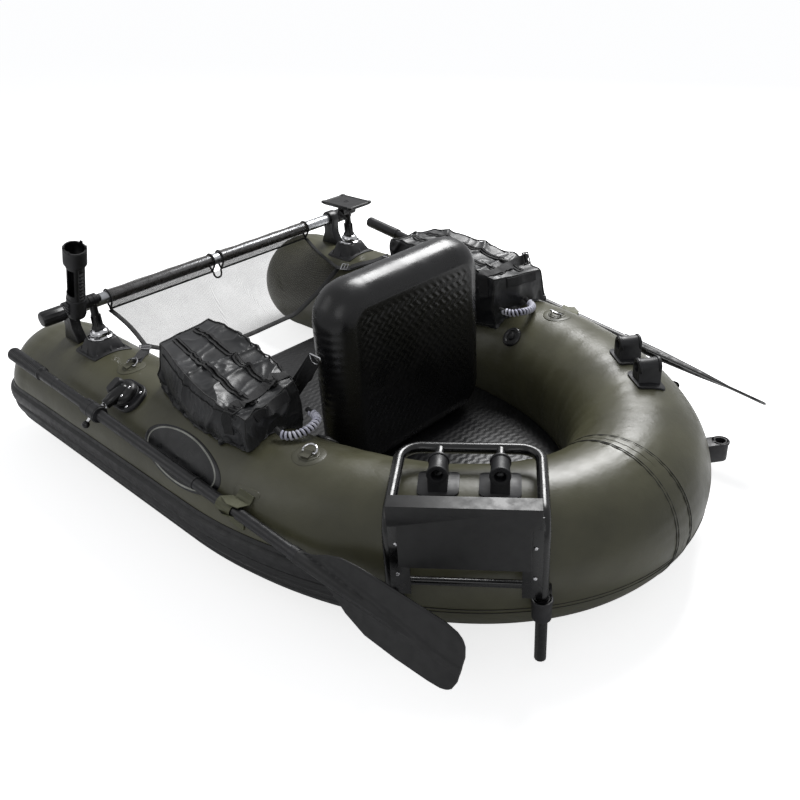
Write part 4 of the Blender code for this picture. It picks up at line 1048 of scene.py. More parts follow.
def lap_net():
    """Knitted net between the bar and the angler's knees, bound with black tape all round."""
    rows, columns = 44, 150
    rings = [[net_point(i / (rows - 1), -1 + 2 * j / (columns - 1)) for j in range(columns)] for i in range(rows)]
    cloth = piece("lap_net", [skin(rings, around=False, ends=False)], "net", "hull", 180)
    solid = cloth.modifiers.new("cloth_thickness", "SOLIDIFY")
    solid.thickness = 0.0005
    edges = [[net_point(1.0, -1 + 2 * k / 90) for k in range(91)]]
    edges += [[net_point(k / 24, g) for k in range(25)] for g in (-1.0, 1.0)]
    gap = (SLEEVE_SPANS["starboard"][1] / 0.335, SLEEVE_SPANS["port"][0] / 0.335)
    notch = [Vector((x, BAR_Y + 0.004 * d, SLEEVE_HEM_Z - 0.002 - 0.020 * d))
             for x, d in ((-0.016, 0.0), (-0.015, 0.55), (-0.010, 0.92), (-0.003, 1.0), (0.004, 0.92),
                          (0.009, 0.55), (0.010, 0.0))]
    binding = [band([p for p in edge[::5]] + [edge[-1]], [Vector((0, 0.66, 0.75))] * 2, 0.013, 0.0022)
               for edge in edges]
    binding.append(cable(smooth_path(notch, 0.003), PIPING_R, 8))
    trim = piece("net_binding", binding, "piping", "hull", 60)
    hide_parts("lap_apron")


for side_name, _ in SIDES:
    mesh_sleeve(side_name)
lap_net()


# straps, rings and patches
def ring_wire(centre, across, along, out, half, wire, number=0, flat=0.15):
    """D-ring of round wire: a bow and a straight bar."""
    pts = [centre + across * (half * math.sin(math.radians(a))) + along * (half * math.cos(math.radians(a)))
           for a in range(-90, 91, 10)]
    pts += [centre + across * (half * q) - along * (half * flat) for q in (0.94, 0.5, 0.0, -0.5, -0.94)]
    return cable(pts, wire, 10, True, number)


def backrest_strap(tag, s):
    """Webbing from the ring on the cushion's side down to a patch inside the tube, with its loose tail."""
    high = Vector((BACK_W / 2 + 0.004, 0.108, 0.388))
    low, out = on_hull(-0.045, 150, 1.0, 0.0016)
    mid, _ = on_hull(-0.018, 158, 1.0, 0.004)
    run = [high, high.lerp(mid, 0.33) + Vector((0.004, 0, -0.006)), high.lerp(mid, 0.7) + Vector((0.003, 0, -0.006)),
           mid, low]
    facing = [Vector((-1, 0, 0)), Vector((-0.93, 0.1, 0.25)), Vector((-0.85, 0, 0.5)), Vector((-0.85, 0, 0.5))]
    parts = [band([flip(p, s) for p in run], [flip(n, s) for n in facing], 0.036, 0.0020, 1)]
    tail = [high + Vector((0.004, -0.006, -0.012)), high + Vector((0.014, -0.022, -0.045)),
            high + Vector((0.030, -0.040, -0.066)), high + Vector((0.040, -0.064, -0.070))]
    parts.append(band([flip(p, s) for p in tail], [flip(n, s) for n in (Vector((-0.9, 0.1, 0.3)), Vector((-0.3, 0, 1)))],
                      0.030, 0.0018, 1))
    ring_at = high + Vector((0.0015, 0.004, 0.006))
    parts.append(ring_wire(flip(ring_at, s), Y, Z * -1, X * s, 0.017, 0.0021, 0))
    ladder = high.lerp(mid, 0.16) + Vector((-0.003, 0, 0))
    down = (mid - high).normalized()
    for m in (-0.010, 0.0, 0.010):
        parts.append(brick(flip(ladder + down * m, s), Y, flip(down, s), X * s, (0.042, 0.0034, 0.0040), 0.001, 2))
    ob = piece("back_strap_" + tag, parts, ("chrome", "web", "plastic"), None, 40)
    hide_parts("backrest_strap_" + tag)
    tuple(flip(low, s))
    tuple(flip(high - Vector((0, 0, 0.02)), s))
    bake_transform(ob)


def apron_strap(tag, s):
    """Webbing from the net's rear corner over the tube to the fore ring, with a chromed slide."""
    st = [(0.3300, -0.462, 0.2835)]
    path = [Vector(p) for p in st] + [on_hull(y, deg, 1.0, 0.0020)[0] for y, deg in
                                      ((-0.430, 121.0), (-0.402, 112.0), (-0.374, 102.5), (-0.352, 95.0))]
    facing = [Vector((-0.25, -0.35, 0.9)), Vector((-0.4, 0, 0.9)), Vector((-0.25, 0, 0.95)), Vector((-0.1, 0, 1))]
    parts = [band([flip(p, s) for p in path], [flip(n, s) for n in facing], 0.022, 0.0018, 1)]
    above = [p + Vector((0.004, 0.002, 0.0035)) for p in path[1:4]]
    above.append(above[-1] + Vector((0.030, 0.030, 0.016)))
    parts.append(band([flip(p, s) for p in above], [flip(n, s) for n in facing[1:]], 0.020, 0.0016, 1))
    at = path[0].lerp(path[1], 0.62) + Vector((-0.001, 0, 0.0045))
    along = (path[1] - path[0]).normalized()
    out = Vector((-0.35, -0.15, 0.92))
    out = (out - along * out.dot(along)).normalized()
    across = along.cross(out)
    for m in (-0.009, 0.0, 0.009):
        parts.append(brick(flip(at + along * m, s), flip(across, s), flip(along, s), flip(out, s),
                           (0.029, 0.0030, 0.0026), 0.0008, 0))
    for m in (-0.0135, 0.0135):
        parts.append(brick(flip(at + across * m, s), flip(across, s), flip(along, s), flip(out, s),
                           (0.0028, 0.021, 0.0026), 0.0008, 0))
    ob = piece("net_strap_" + tag, parts, ("chrome", "web"), "hull", 40)
    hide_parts("apron_strap_" + tag)


def oval_patch(tag, s):
    """Bare dark oval patch on the tube's side, with a plain pale rim."""
    y0, deg0, half_y, half_deg = 0.008, 41.0, 0.134, 20.5
    shares = ((0.0, 1.2), (0.55, 1.2), (0.845, 1.2), (0.86, 1.5), (0.915, 1.5), (0.93, 1.2), (0.985, 1.15), (1.0, 0.2))
    sides = 96
    points, faces, numbers = [], [], []
    for share, high in shares:
        for k in range(sides):
            a = 2 * math.pi * k / sides
            y = y0 + half_y * share * math.cos(a)
            deg = deg0 + half_deg * share * math.sin(a) - 3.0 * share * math.cos(a)
            points.append(tuple(on_hull(y, deg, s, high / 1000)[0]))
    body = []
    for i in range(1, len(shares)):
        for k in range(sides):
            body.append((i * sides - sides + k, i * sides - sides + (k + 1) % sides, i * sides + (k + 1) % sides,
                         i * sides + k))
    base = len(points)
    for k in range(sides):
        a = 2 * math.pi * k / sides
        deg = deg0 + half_deg * math.sin(a) - 3.0 * math.cos(a)
        points.append(tuple(on_hull(y0 + half_y * math.cos(a), deg, s, -0.002)[0]))
    last = (len(shares) - 1) * sides
    for k in range(sides):
        body.append((last + k, last + (k + 1) % sides, base + (k + 1) % sides, base + k))
    centre = len(points)
    points.append(tuple(on_hull(y0, deg0, s, -0.004)[0]))
    for k in range(sides):
        body.append((base + k, base + (k + 1) % sides, centre))
    piece("oval_patch_" + tag, [(points, body, 0)], "ink", "hull", 50)
    ring = [on_hull(y0 + half_y * 0.888 * math.cos(2 * math.pi * k / 160),
                    deg0 + half_deg * 0.888 * math.sin(2 * math.pi * k / 160) - 2.66 * math.cos(2 * math.pi * k / 160),
                    s, 0.0009) for k in range(160)]
    flat = [tuple(p + o * h + d * w) for p, o, d in
            ((p, o, (ring[(k + 1) % 160][0] - p).normalized().cross(o)) for k, (p, o) in enumerate(ring))
            for w, h in ((-0.0022, -0.0004), (-0.0018, 0.0008), (0.0018, 0.0008), (0.0022, -0.0004))]
    faces = lattice(160, 4, True, True)
    piece("oval_rim_" + tag, [(flat, faces, 0)], "rim", "hull", 50)


for side_name, sign in SIDES:
    backrest_strap(side_name, sign)
    apron_strap(side_name, sign)
    oval_patch(side_name, sign)


# fittings on the tubes
def hull_pad(y0, deg0, s, size, layers, number=0):
    """Plate laid on the skin: its width across, its length along and its corner radius; layers of inset and height."""
    w, l, r = size
    rings = []
    for inset, high in layers:
        width, length = w - 2 * inset, l - 2 * inset
        corner = min(max(r - inset, 0.0004), min(width, length) * 0.49)
        rings.append([on_hull(y0 + y, deg0 - math.degrees(x / TUBE_R), s, high)[0]
                      for x, y in outline(width, length, corner, 8)])
    return skin(rings, number=number)


def washer(begin, direction, inner, outer, thick, number=0, sides=28):
    """Flat ring with a hole, its edges eased."""
    u, v, w = axes(direction)
    ease = min(thick * 0.2, 0.0012)
    profile = ((ease, inner), (0, inner + ease), (0, outer - ease), (ease, outer), (thick - ease, outer),
               (thick, outer - ease), (thick, inner + ease), (thick - ease, inner))
    rings = [circle(Vector(begin) + w * h, u, v, r, sides) for h, r in profile]
    return [tuple(p) for ring in rings for p in ring], lattice(len(profile), sides, True, True), number


def slotted_tube(base, axes3, profile, wall, window, number=0, sides=56):
    """Tube with a window: axes3 is across, back, along; window is its heights and half-width in degrees."""
    u, v, w = axes3
    shell = [[circle(base + w * h, u, v, r - t, sides) for h, r in profile] for t in (0.0, wall)]
    count = len(profile)

    def kept(i, k):
        if not 0 <= i < count - 1:
            return False
        middle = (profile[i][0] + profile[i + 1][0]) / 2
        angle = abs(((k + 0.5) * 360 / sides + 180) % 360 - 180)
        return not (window[0] < middle < window[1] and angle < window[2])

    points = [tuple(p) for layer in shell for ring in layer for p in ring]

    def at(layer, i, k):
        return (layer * count + i) * sides + k % sides

    faces = []
    for i in range(count):
        for k in range(sides):
            if kept(i, k):
                faces.append((at(0, i, k), at(0, i, k + 1), at(0, i + 1, k + 1), at(0, i + 1, k)))
                faces.append((at(1, i, k), at(1, i + 1, k), at(1, i + 1, k + 1), at(1, i, k + 1)))
            if kept(i, k) != kept(i - 1, k):
                faces.append((at(0, i, k), at(0, i, k + 1), at(1, i, k + 1), at(1, i, k)))
            if i < count - 1 and kept(i, k) != kept(i, k - 1):
                faces.append((at(0, i, k), at(0, i + 1, k), at(1, i + 1, k), at(1, i, k)))
    return points, faces, number


# accessory feet and posts: place of the post, top of the ring, height of the tilt knuckle
POST_X, POST_Y, FOOT_HALF, RING_TOP_Z, KNUCKLE_Z = 0.422, -0.500, 0.052, 0.338, 0.428


def foot_height(x, y):
    """Height of the moulded foot over its flange, as a share of its rise, from its middle."""
    d = (abs(x) ** 4 + abs(y) ** 4) ** 0.25
    rise = 1.0 if d < 0.031 else max(0.0, 1 - (d - 0.031) / 0.0125) ** 0.75
    near = min(abs(x), abs(y), abs(abs(x) - abs(y)) * 1.1)
    gusset = max(0.0, 1 - (d - 0.031) / 0.017) * (1.0 if near < 0.0028 else 0.0)
    return max(rise, gusset * 0.85)


def post_foot(node, s):
    """Square rubber foot, dished to the tube, with gussets up to its ring."""
    n = 60
    top, low = [], []
    for j in range(n + 1):
        for i in range(n + 1):
            a, b = -1 + 2 * i / n, -1 + 2 * j / n
            x = a * FOOT_HALF * (1 - 0.05 * b ** 4)
            y = b * FOOT_HALF * (1 - 0.05 * a ** 4)
            px = s * (POST_X + x)
            skin_z = over_tube(px, 0.0)
            edge = min(1.0, (1 - max(abs(a), abs(b))) / 0.05)
            lip = 0.0022 + 0.0022 * edge ** 0.5 - (0.0010 if 0.86 < max(abs(a), abs(b)) < 0.90 else 0.0)
            z = skin_z + lip
            z += max(0.0, RING_TOP_Z - 0.0070 - z) * foot_height(x, y)
            top.append((px, POST_Y + y, z))
            low.append((px, POST_Y + y, skin_z + 0.0004))
    count = n + 1
    faces = []
    for layer, points in enumerate((top, low)):
        base = layer * count * count
        for j in range(n):
            for i in range(n):
                k = base + j * count + i
                faces.append((k, k + 1, k + 1 + count, k + count))
    rim = [i for i in range(n)] + [j * count + n for j in range(n)] + [n * count + i for i in range(n, 0, -1)]
    rim += [j * count for j in range(n, 0, -1)]
    for a, b in zip(rim, rim[1:] + rim[:1]):
        faces.append((a, b, b + count * count, a + count * count))
    at = Vector((s * POST_X, POST_Y, RING_TOP_Z - 0.0072))
    ring = turned(at, Z, [(0, 0.0300), (0.0020, 0.0312), (0.0042, 0.0305), (0.0066, 0.0278), (0.0070, 0.0262),
                          (0.0050, 0.0255)], 48, 1)
    ob = piece(node + "_moulded", [(top + low, faces, 0), ring], ("rubber", "chrome"), "hull", 30)
    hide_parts(node)


def post_stem(node, s, body_name, hub_r):
    """Swivelling post: chromed ball in its ring, black neck and the knuckle that tilts."""
    at = Vector((s * POST_X, POST_Y, RING_TOP_Z))
    parts = [turned(at + Z * 0.0004, Z, [(0, 0.0236), (0.003, 0.0240), (0.008, 0.0228), (0.0125, 0.0196),
                                         (0.0150, 0.0160)], 40, 1),
             turned(at + Z * 0.0150, Z, [(0, 0.0158), (0.003, 0.0166), (0.006, 0.0150), (0.012, 0.0118),
                                         (0.030, 0.0098), (0.056, 0.0094), (0.066, 0.0112)], 32, 0),
             turned(Vector((s * POST_X - 0.012, POST_Y, KNUCKLE_Z)), X,
                    [(0, hub_r * 0.9), (0.001, hub_r), (0.0105, hub_r), (0.011, hub_r * 0.93), (0.013, hub_r * 0.93),
                     (0.0135, hub_r), (0.023, hub_r), (0.024, hub_r * 0.9)], 32, 0)]
    for a in range(0, 360, 60):
        d = Vector((math.cos(math.radians(a)), math.sin(math.radians(a)), 0))
        parts.append(brick(at + d * 0.0118 + Z * 0.034, d, Z.cross(d), Z, (0.0040, 0.0026, 0.034), 0.0008, 0))
    ob = piece(node + "_turned", parts, ("plastic", "chrome"), body_name, 35)
    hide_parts(node)


# rod tube: offset from its post, lean to the stern, length under and over the knuckle
ROD_OFFSET, ROD_LEAN_DEG, ROD_BELOW, ROD_LENGTH, ROD_R, ROD_WALL = 0.040, 24.0, 0.030, 0.205, 0.0215, 0.0030


def rod_tube():
    """Rod holder tube: cup with vents, window, flared mouth with horns, adjusting rack on its back."""
    lean = math.radians(ROD_LEAN_DEG)
    w = Vector((0, math.sin(lean), math.cos(lean)))
    u, v = X.copy(), w.cross(X)
    knuckle = Vector((POST_X, POST_Y, KNUCKLE_Z))
    base = knuckle + u * ROD_OFFSET - w * ROD_BELOW
    profile = [(0.0, 0.0190), (0.002, 0.0212)]
    profile += [(0.008 + 0.0065 * k, ROD_R) for k in range(24)]
    profile += [(0.1605, ROD_R), (0.1620, 0.0252), (0.1640, 0.0258), (0.2000, 0.0262), (0.2035, 0.0262),
                (0.2050, 0.0254)]
    parts = [slotted_tube(base, (u, v, w), profile, ROD_WALL, (0.072, 0.152, 52.0)),
             turned(base + w * 0.002, w, [(0, 0.017), (0.003, 0.0186), (0.010, 0.0186)], 32, 0)]
    for k in range(8):
        parts.append(brick(base + v * (ROD_R + 0.0028) + w * (0.070 + 0.0105 * k), u, (v - w * 0.5).normalized(),
                           (w + v * 0.5).normalized(), (0.0090, 0.0085, 0.0042), 0.0008, 0))
    parts.append(brick(base + v * (ROD_R + 0.0004) + w * 0.108, u, v, w, (0.0110, 0.0030, 0.098), 0.0008, 0))
    for k in range(4):
        parts.append(brick(base + u * (ROD_R + 0.0022) + w * (0.018 + 0.0088 * k), v, u, w,
                           (0.0185, 0.0052, 0.0046), 0.0012, 1))
    for a in (25, 155, 205, 335):
        d = u * math.cos(math.radians(a)) + v * math.sin(math.radians(a))
        parts.append(brick(base + d * 0.0246 + w * 0.2065, w.cross(d), d, w, (0.0075, 0.0036, 0.0075), 0.0012, 1))
    parts.append(washer(base + w * 0.1620, w, 0.0235, 0.0268, 0.0420, 1, 48))
    parts.append(washer(base + w * 0.0080, w, 0.0205, 0.0230, 0.0500, 1, 48))
    ear = knuckle + u * 0.0123
    parts.append(turned(ear, u, [(0, 0.0140), (0.001, 0.0150), (0.0072, 0.0150), (0.0095, 0.0140)], 32, 0))
    parts.append(turned(knuckle - u * 0.0215, u, [(0, 0.0085), (0.001, 0.0100), (0.0080, 0.0100), (0.0092, 0.0080)],
                        12, 0))
    ob = piece("rod_tube", parts, ("plastic", "rubber"), "rod_holder", 35)
    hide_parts("rod_holder_tube")


# instrument table: plate across and along, its underside height and thickness
TABLE_X, TABLE_Y, TABLE_Z, TABLE_T = 0.086, 0.125, 0.448, 0.0100


def table_plate():
    """Instrument table: dished plate with a rim, corner lugs and a centre hole, on a ribbed bracket."""
    at = Vector((-POST_X, POST_Y, TABLE_Z))
    full, eased = outline(TABLE_X, TABLE_Y, 0.009, 5), outline(TABLE_X - 0.003, TABLE_Y - 0.003, 0.008, 5)
    rim, pan = outline(TABLE_X - 0.010, TABLE_Y - 0.010, 0.006, 5), outline(TABLE_X - 0.012, TABLE_Y - 0.012, 0.005, 5)
    parts = [stack(at, X, Y, Z, [(0, eased), (0.0015, full), (TABLE_T - 0.0020, full), (TABLE_T - 0.0006, eased),
                                 (TABLE_T - 0.0006, rim), (TABLE_T - 0.0016, pan)]),
             washer(at + Z * (TABLE_T - 0.0020), Z, 0.0048, 0.0078, 0.0012, 0, 32)]
    for sx in (-1, 1):
        for sy in (-1, 1):
            lug = at + X * (sx * (TABLE_X / 2 - 0.005)) + Y * (sy * (TABLE_Y / 2 - 0.005)) + Z * 0.0035
            parts.append(turned(lug, Z, [(0, 0.0075), (0.0008, 0.0085), (0.0052, 0.0085), (0.0060, 0.0075)], 20, 0))
    for k in range(5):
        parts.append(brick(at + Y * (-0.040 + 0.020 * k) - Z * 0.0015, X, Y, Z, (0.070, 0.0022, 0.0040), 0.0006, 0))
    for dx in (-0.0183, 0.0183):
        cheek = [(0.013 * math.cos(math.radians(a)), 0.013 * math.sin(math.radians(a))) for a in range(180, 361, 20)]
        cheek = [(0.013, 0.0195)] + [(-0.013, 0.0195)] + cheek
        mid = Vector((-POST_X + dx, POST_Y, KNUCKLE_Z))
        parts.append(stack(mid - X * 0.0058, Y, Z, X, [(0, cheek), (0.0116, cheek)]))
    pin = Vector((-POST_X + 0.0240, POST_Y, KNUCKLE_Z))
    parts.append(turned(pin, X, [(0, 0.0080), (0.001, 0.0090), (0.007, 0.0090), (0.009, 0.0070)], 20, 0))
    parts.append(brick(pin + X * 0.0055 + (Y - Z * 0.5).normalized() * 0.016, (Y - Z * 0.5).normalized(),
                       (Z + Y * 0.5).normalized(), X, (0.034, 0.012, 0.0055), 0.0018, 0))
    parts.append(screw_head(Vector((-POST_X - 0.0243, POST_Y, KNUCKLE_Z)), -X, 0.0052, 1))
    ob = piece("table_plate", parts, ("plastic", "chrome"), "table", 35)
    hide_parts("instrument_table")


for holder, s_post, post_body, post_hub in (("rod_holder", 1.0, "rod_holder_post", 0.0150),
                                            ("table", -1.0, "table_post", 0.0130)):
    post_foot(holder + "_base", s_post)
    post_stem(holder + "_stem", s_post, post_body, post_hub)
rod_tube()
table_plate()


# rowlock and oar, as the frame has them
LOCK_Y, LOCK_DEG, LOCK_SEAT, COLLAR_R, OAR_R = -0.255, 61.6, 0.0070, 0.0190, 0.0125
OAR_FRONT, OAR_BACK = Vector((0.6030, -0.600, 0.3250)), Vector((0.5380, 0.800, 0.1640))
OAR_TIP_Y, BLADE_L, BLADE_T, KEEPER_Y = 0.770, 0.370, 0.0050, 0.205
BLADE_ROLL_DEG = {"port": -72.0, "starboard": -33.0}


def oar_at(y, s):
    return flip(OAR_FRONT.lerp(OAR_BACK, (y - OAR_FRONT.y) / (OAR_BACK.y - OAR_FRONT.y)), s)


def rowlock(tag, s):
    """Moulded pad with its rim, and the hooded block on it that turns with the oar's pin."""
    pad = hull_pad(LOCK_Y, LOCK_DEG, s, (0.074, 0.112, 0.0365),
                   [(0, 0.0003), (0, 0.0062), (0.0008, 0.0080), (0.0024, 0.0092), (0.0062, 0.0092), (0.0078, 0.0078),
                    (0.0084, 0.0048), (0.0095, 0.0042), (0.030, 0.0042)])
    c, e, f, n = hull_frame(LOCK_Y, LOCK_DEG, s)
    boss = turned(c + n * 0.001, n, [(0, 0.0325), (0.0040, 0.0320), (LOCK_SEAT - 0.001, 0.0310)], 48)
    heads = [screw_head(c + f * y + e * x + n * 0.0045, n, 0.0036, 1) for x, y in
             ((0.024, 0.030), (-0.020, 0.034), (0.022, -0.034), (-0.022, -0.033))]
    ob = piece("rowlock_seat_" + tag, [pad, boss] + heads, ("rubber", "chrome"), "hull", 32)
    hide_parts("rowlock_pad_" + tag)
    block = [turned(c + n * (LOCK_SEAT + 0.0005), n, [(0, 0.0300), (0.001, 0.0310), (0.0100, 0.0305), (0.0150, 0.0270),
                                                      (0.0180, 0.0200), (0.0190, 0.0120)], 48)]
    mid = oar_at(LOCK_Y, s)
    d = (flip(OAR_BACK, s) - flip(OAR_FRONT, s)).normalized()
    level_out = Vector((d.y, -d.x, 0)).normalized()
    if (mid - c).dot(level_out) < 0:
        level_out = -level_out
    root = mid - level_out * 0.0300
    # barrel that holds the pin, along the way out
    inner = c + n * 0.0250 - level_out * 0.016
    barrel_w = (root - inner).normalized()
    length = (root - inner).length
    block.append(turned(inner, barrel_w, [(0, 0.0070), (0.002, 0.0110), (0.006, 0.0138), (0.012, 0.0150),
                                          (length * 0.72, 0.0150), (length * 0.80, 0.0128), (length, 0.0120)], 36, 2))
    hood = c - f * 0.0245 + n * 0.0240
    outer_line, eased_line = outline(0.044, 0.026, 0.010, 5), outline(0.036, 0.020, 0.008, 5)
    middle_line = outline(0.040, 0.023, 0.009, 5)
    block.append(stack(hood - n * 0.0135, e, f, n, [(0, outer_line), (0.016, outer_line), (0.0215, middle_line),
                                                   (0.0245, eased_line)], 3))
    block.append(turned(root, level_out, [(0, 0.0055), (0.0300 - COLLAR_R - 0.0004, 0.0055)], 20, 1))
    block.append(washer(root - level_out * 0.0010, level_out, 0.0050, 0.0085, 0.0024, 1))
    for x, y in ((0.012, 0.017), (-0.013, 0.017)):
        block.append(screw_head(c + e * x + f * y + n * 0.0240, n, 0.0034, 1))
    ob = piece("rowlock_block_" + tag, block, ("plastic", "chrome", "gloss", "rubber"), "rowlock_" + tag, 32)
    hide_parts("rowlock_horn_" + tag)


def oar(tag, s):
    """Oar shaft with its ribbed grip, collar and stop knob, and the blade with its spine."""
    d = (flip(OAR_BACK, s) - flip(OAR_FRONT, s)).normalized()
    begin = flip(OAR_FRONT, s)
    total = (OAR_TIP_Y - OAR_FRONT.y) / d.y
    at_lock = (LOCK_Y - OAR_FRONT.y) / d.y
    ferrule = total - BLADE_L
    profile = [(0, 0.0118), (0.002, 0.0150), (0.005, 0.0165)]
    for k in range(24):
        h = 0.008 + 0.0052 * k
        profile += [(h, 0.0165), (h + 0.0016, 0.0158), (h + 0.0022, 0.0158), (h + 0.0038, 0.0165)]
    profile += [(0.1345, 0.0165), (0.1362, 0.0148), (0.1380, 0.0129), (0.1960, 0.0129), (0.1966, OAR_R)]
    bands = ((-0.0280, 0.0150), (-0.0270, 0.0176), (-0.0190, 0.0176), (-0.0180, 0.0186), (-0.0010, COLLAR_R),
             (0.0, 0.0179), (0.0010, COLLAR_R), (0.0165, COLLAR_R), (0.0172, 0.0200), (0.0240, 0.0200),
             (0.0250, 0.0186), (0.0280, 0.0182), (0.0290, 0.0140))
    profile += [(at_lock - 0.0290, OAR_R)] + [(at_lock + h, r) for h, r in bands] + [(at_lock + 0.0295, OAR_R)]
    profile += [(0.700 / d.y, OAR_R), (0.7005 / d.y, 0.0134), (0.708 / d.y, 0.0134), (0.7085 / d.y, 0.0120)]
    profile += [(ferrule - 0.020, 0.0120), (ferrule - 0.019, 0.0142), (ferrule - 0.001, 0.0147), (ferrule, 0.0140)]
    parts = [turned(begin, d, profile, 32, 0)]
    mid = oar_at(LOCK_Y, s)
    out = (Vector((d.y, -d.x, 0)).normalized() * s - Z * 0.75).normalized()
    neck = mid + d * 0.006 + out * 0.0165
    parts.append(turned(neck, out, [(0, 0.0050), (0.008, 0.0040), (0.0105, 0.0045)], 16, 1))
    knob = [(0.0085 * (1 - math.cos(math.radians(a))), 0.0002 + 0.0085 * math.sin(math.radians(a)))
            for a in range(0, 181, 15)]
    parts.append(turned(neck + out * 0.0095, out, knob, 24, 2))
    ob = piece("oar_loom_" + tag, parts, ("oar", "chrome", "gloss"), "oar_" + tag, 30)
    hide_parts("oar_shaft_" + tag)

    a = math.radians(BLADE_ROLL_DEG[tag])
    lat = flip((math.cos(a), 0, math.sin(a)), s)
    lat = (lat - d * lat.dot(d)).normalized()
    flat = d.cross(lat)
    root = begin + d * (ferrule + 0.0003)
    # half-widths of the blade along its length, on its two sides
    along = [0.0, 0.03, 0.06, 0.088, 0.13, 0.18, 0.25, 0.32, 0.345, 0.358, 0.366, 0.370]
    upper = [0.0135, 0.022, 0.0385, 0.0500, 0.0560, 0.0590, 0.0615, 0.0635, 0.0600, 0.0540, 0.0440, 0.0280]
    lower = [0.0130, 0.0135, 0.0145, 0.0190, 0.0400, 0.0540, 0.0550, 0.0520, 0.0490, 0.0440, 0.0360, 0.0220]
    sections = []
    for x in np.linspace(0.0, 0.370, 75):
        hi, lo = float(np.interp(x, along, upper)), float(np.interp(x, along, lower))
        spine = float(np.interp(x, (0.0, 0.09, 0.20, 0.30, 0.37), (0.0150, 0.0135, 0.0090, 0.0026, 0.0020)))
        ring = []
        for y in np.linspace(-hi, lo, 41):
            edge = min(1.0, (1 - abs((y + hi) / (hi + lo) * 2 - 1)) / 0.05)
            half = BLADE_T / 2 * (0.45 + 0.55 * math.sqrt(edge))
            ridge = math.sqrt(max(0.0, spine ** 2 - y * y))
            step = 0.0010 if abs(y) < spine * 1.7 + 0.004 and x > 0.06 else 0.0
            ring.append((y, max(half + step, ridge)))
        pts = [root + d * x + lat * y + flat * h for y, h in ring]
        pts += [root + d * x + lat * y - flat * h for y, h in reversed(ring)]
        sections.append(pts)
    ob = piece("oar_paddle_" + tag, [skin(sections)], "blade", "oar_" + tag, 40)
    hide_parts("oar_blade_" + tag)


def keeper(tag, s):
    """Coated strap over the oar's shaft, welded to a patch on each side of it."""
    at = oar_at(KEEPER_Y, s)
    c0, n0 = station(KEEPER_Y)
    away = flip(at, s) - c0
    deg = math.degrees(math.atan2(away.z, away.dot(n0)))
    c, e, f, n = hull_frame(KEEPER_Y, deg, s)
    high = (at - c).dot(n)
    d = (flip(OAR_BACK, s) - flip(OAR_FRONT, s)).normalized()
    e = (n.cross(d)).normalized() * (1 if n.cross(d).dot(e) > 0 else -1)
    r = OAR_R + 0.0022
    path, facing = [], []
    for x, y in ((-0.036, 0.0010), (-0.026, 0.0022), (-0.019, 0.0050), (-r, high - 0.004)):
        path.append(c + e * x + n * y)
        facing.append(n if y < 0.004 else -e + n * 0.3)
    for a in range(170, 9, -20):
        way = e * math.cos(math.radians(a)) + n * math.sin(math.radians(a))
        path.append(at + way * r)
        facing.append(way)
    for x, y in ((r, high - 0.004), (0.019, 0.0040), (0.026, 0.0006), (0.036, -0.0034)):
        path.append(c + e * x + n * y)
        facing.append(n if y < 0.003 else e + n * 0.3)
    parts = [tape(path, facing, 0.040, 0.0020, 0),
             hull_pad(KEEPER_Y, deg + 3.0, s, (0.072, 0.060, 0.010), [(0, 0.0002), (0.0004, 0.0010), (0.0012, 0.0014),
                                                                      (0.028, 0.0014)], 1)]
    ob = piece("oar_strap_" + tag, parts, ("olive_web", "patch"), "hull", 40)
    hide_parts("oar_keeper_" + tag)


def ring_patch(label, y, deg, tag, s):
    """Round patch with a raised middle, a tab and a chromed D-ring in it."""
    disc = hull_pad(y, deg, s, (0.068, 0.068, 0.0333),
                    [(0, 0.0002), (0.0003, 0.0010), (0.0012, 0.0014), (0.0125, 0.0014), (0.0132, 0.0026),
                     (0.0145, 0.0030), (0.0185, 0.0030), (0.0192, 0.0042), (0.0205, 0.0046), (0.0325, 0.0048)], 0)
    c, e, f, n = hull_frame(y, deg, s)
    lie = (-e * math.cos(math.radians(24)) + n * math.sin(math.radians(24)))
    wire = ring_wire(c + n * 0.0078 - e * 0.002, f, lie, n, 0.0160, 0.0022, 1)
    tab_path = [c + e * 0.017 + n * 0.0056, c + e * 0.006 + n * 0.0066, c - e * 0.0006 + n * 0.0106,
                c - e * 0.0040 + n * 0.0080, c + e * 0.004 + n * 0.0052]
    tab = band(tab_path, [n, n, -e + n, -n], 0.020, 0.0014, 0, 0.002)
    ob = piece("ring_patch_%s_%s" % (label, tag), [disc, wire, tab], ("patch", "chrome"), "hull", 35)
    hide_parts("d_ring_%s_%s" % (label, tag))


def seams(tag, s):
    """Weld lines: both edges of the stern joint, and the line that goes on from the strake."""
    parts = []
    for x in (0.0135, 0.0180):
        c, n = bend(math.degrees(math.acos(x / HALF_TRACK)))
        loop = [flip(c + (n * math.cos(math.radians(a)) + Z * math.sin(math.radians(a))) * (TUBE_R + 0.0008), s)
                for a in range(-80, 200, 4)]
        parts.append(cable(loop, 0.0008, 6))
    for deg in (-13.0, -17.0):
        line = []
        for t in range(34, 91, 2):
            c, n = bend(t)
            a = math.radians(deg)
            line.append(flip(c + (n * math.cos(a) + Z * math.sin(a)) * (TUBE_R + 0.0004), s))
        parts.append(cable(line, 0.0008, 6))
    piece("weld_lines_" + tag, parts, "weld", "hull", 60)


for side_name, sign in SIDES:
    rowlock(side_name, sign)
    oar(side_name, sign)
    keeper(side_name, sign)
    ring_patch("aft", 0.275, 88.0, side_name, sign)
    ring_patch("fore", -0.345, 88.0, side_name, sign)
    seams(side_name, sign)


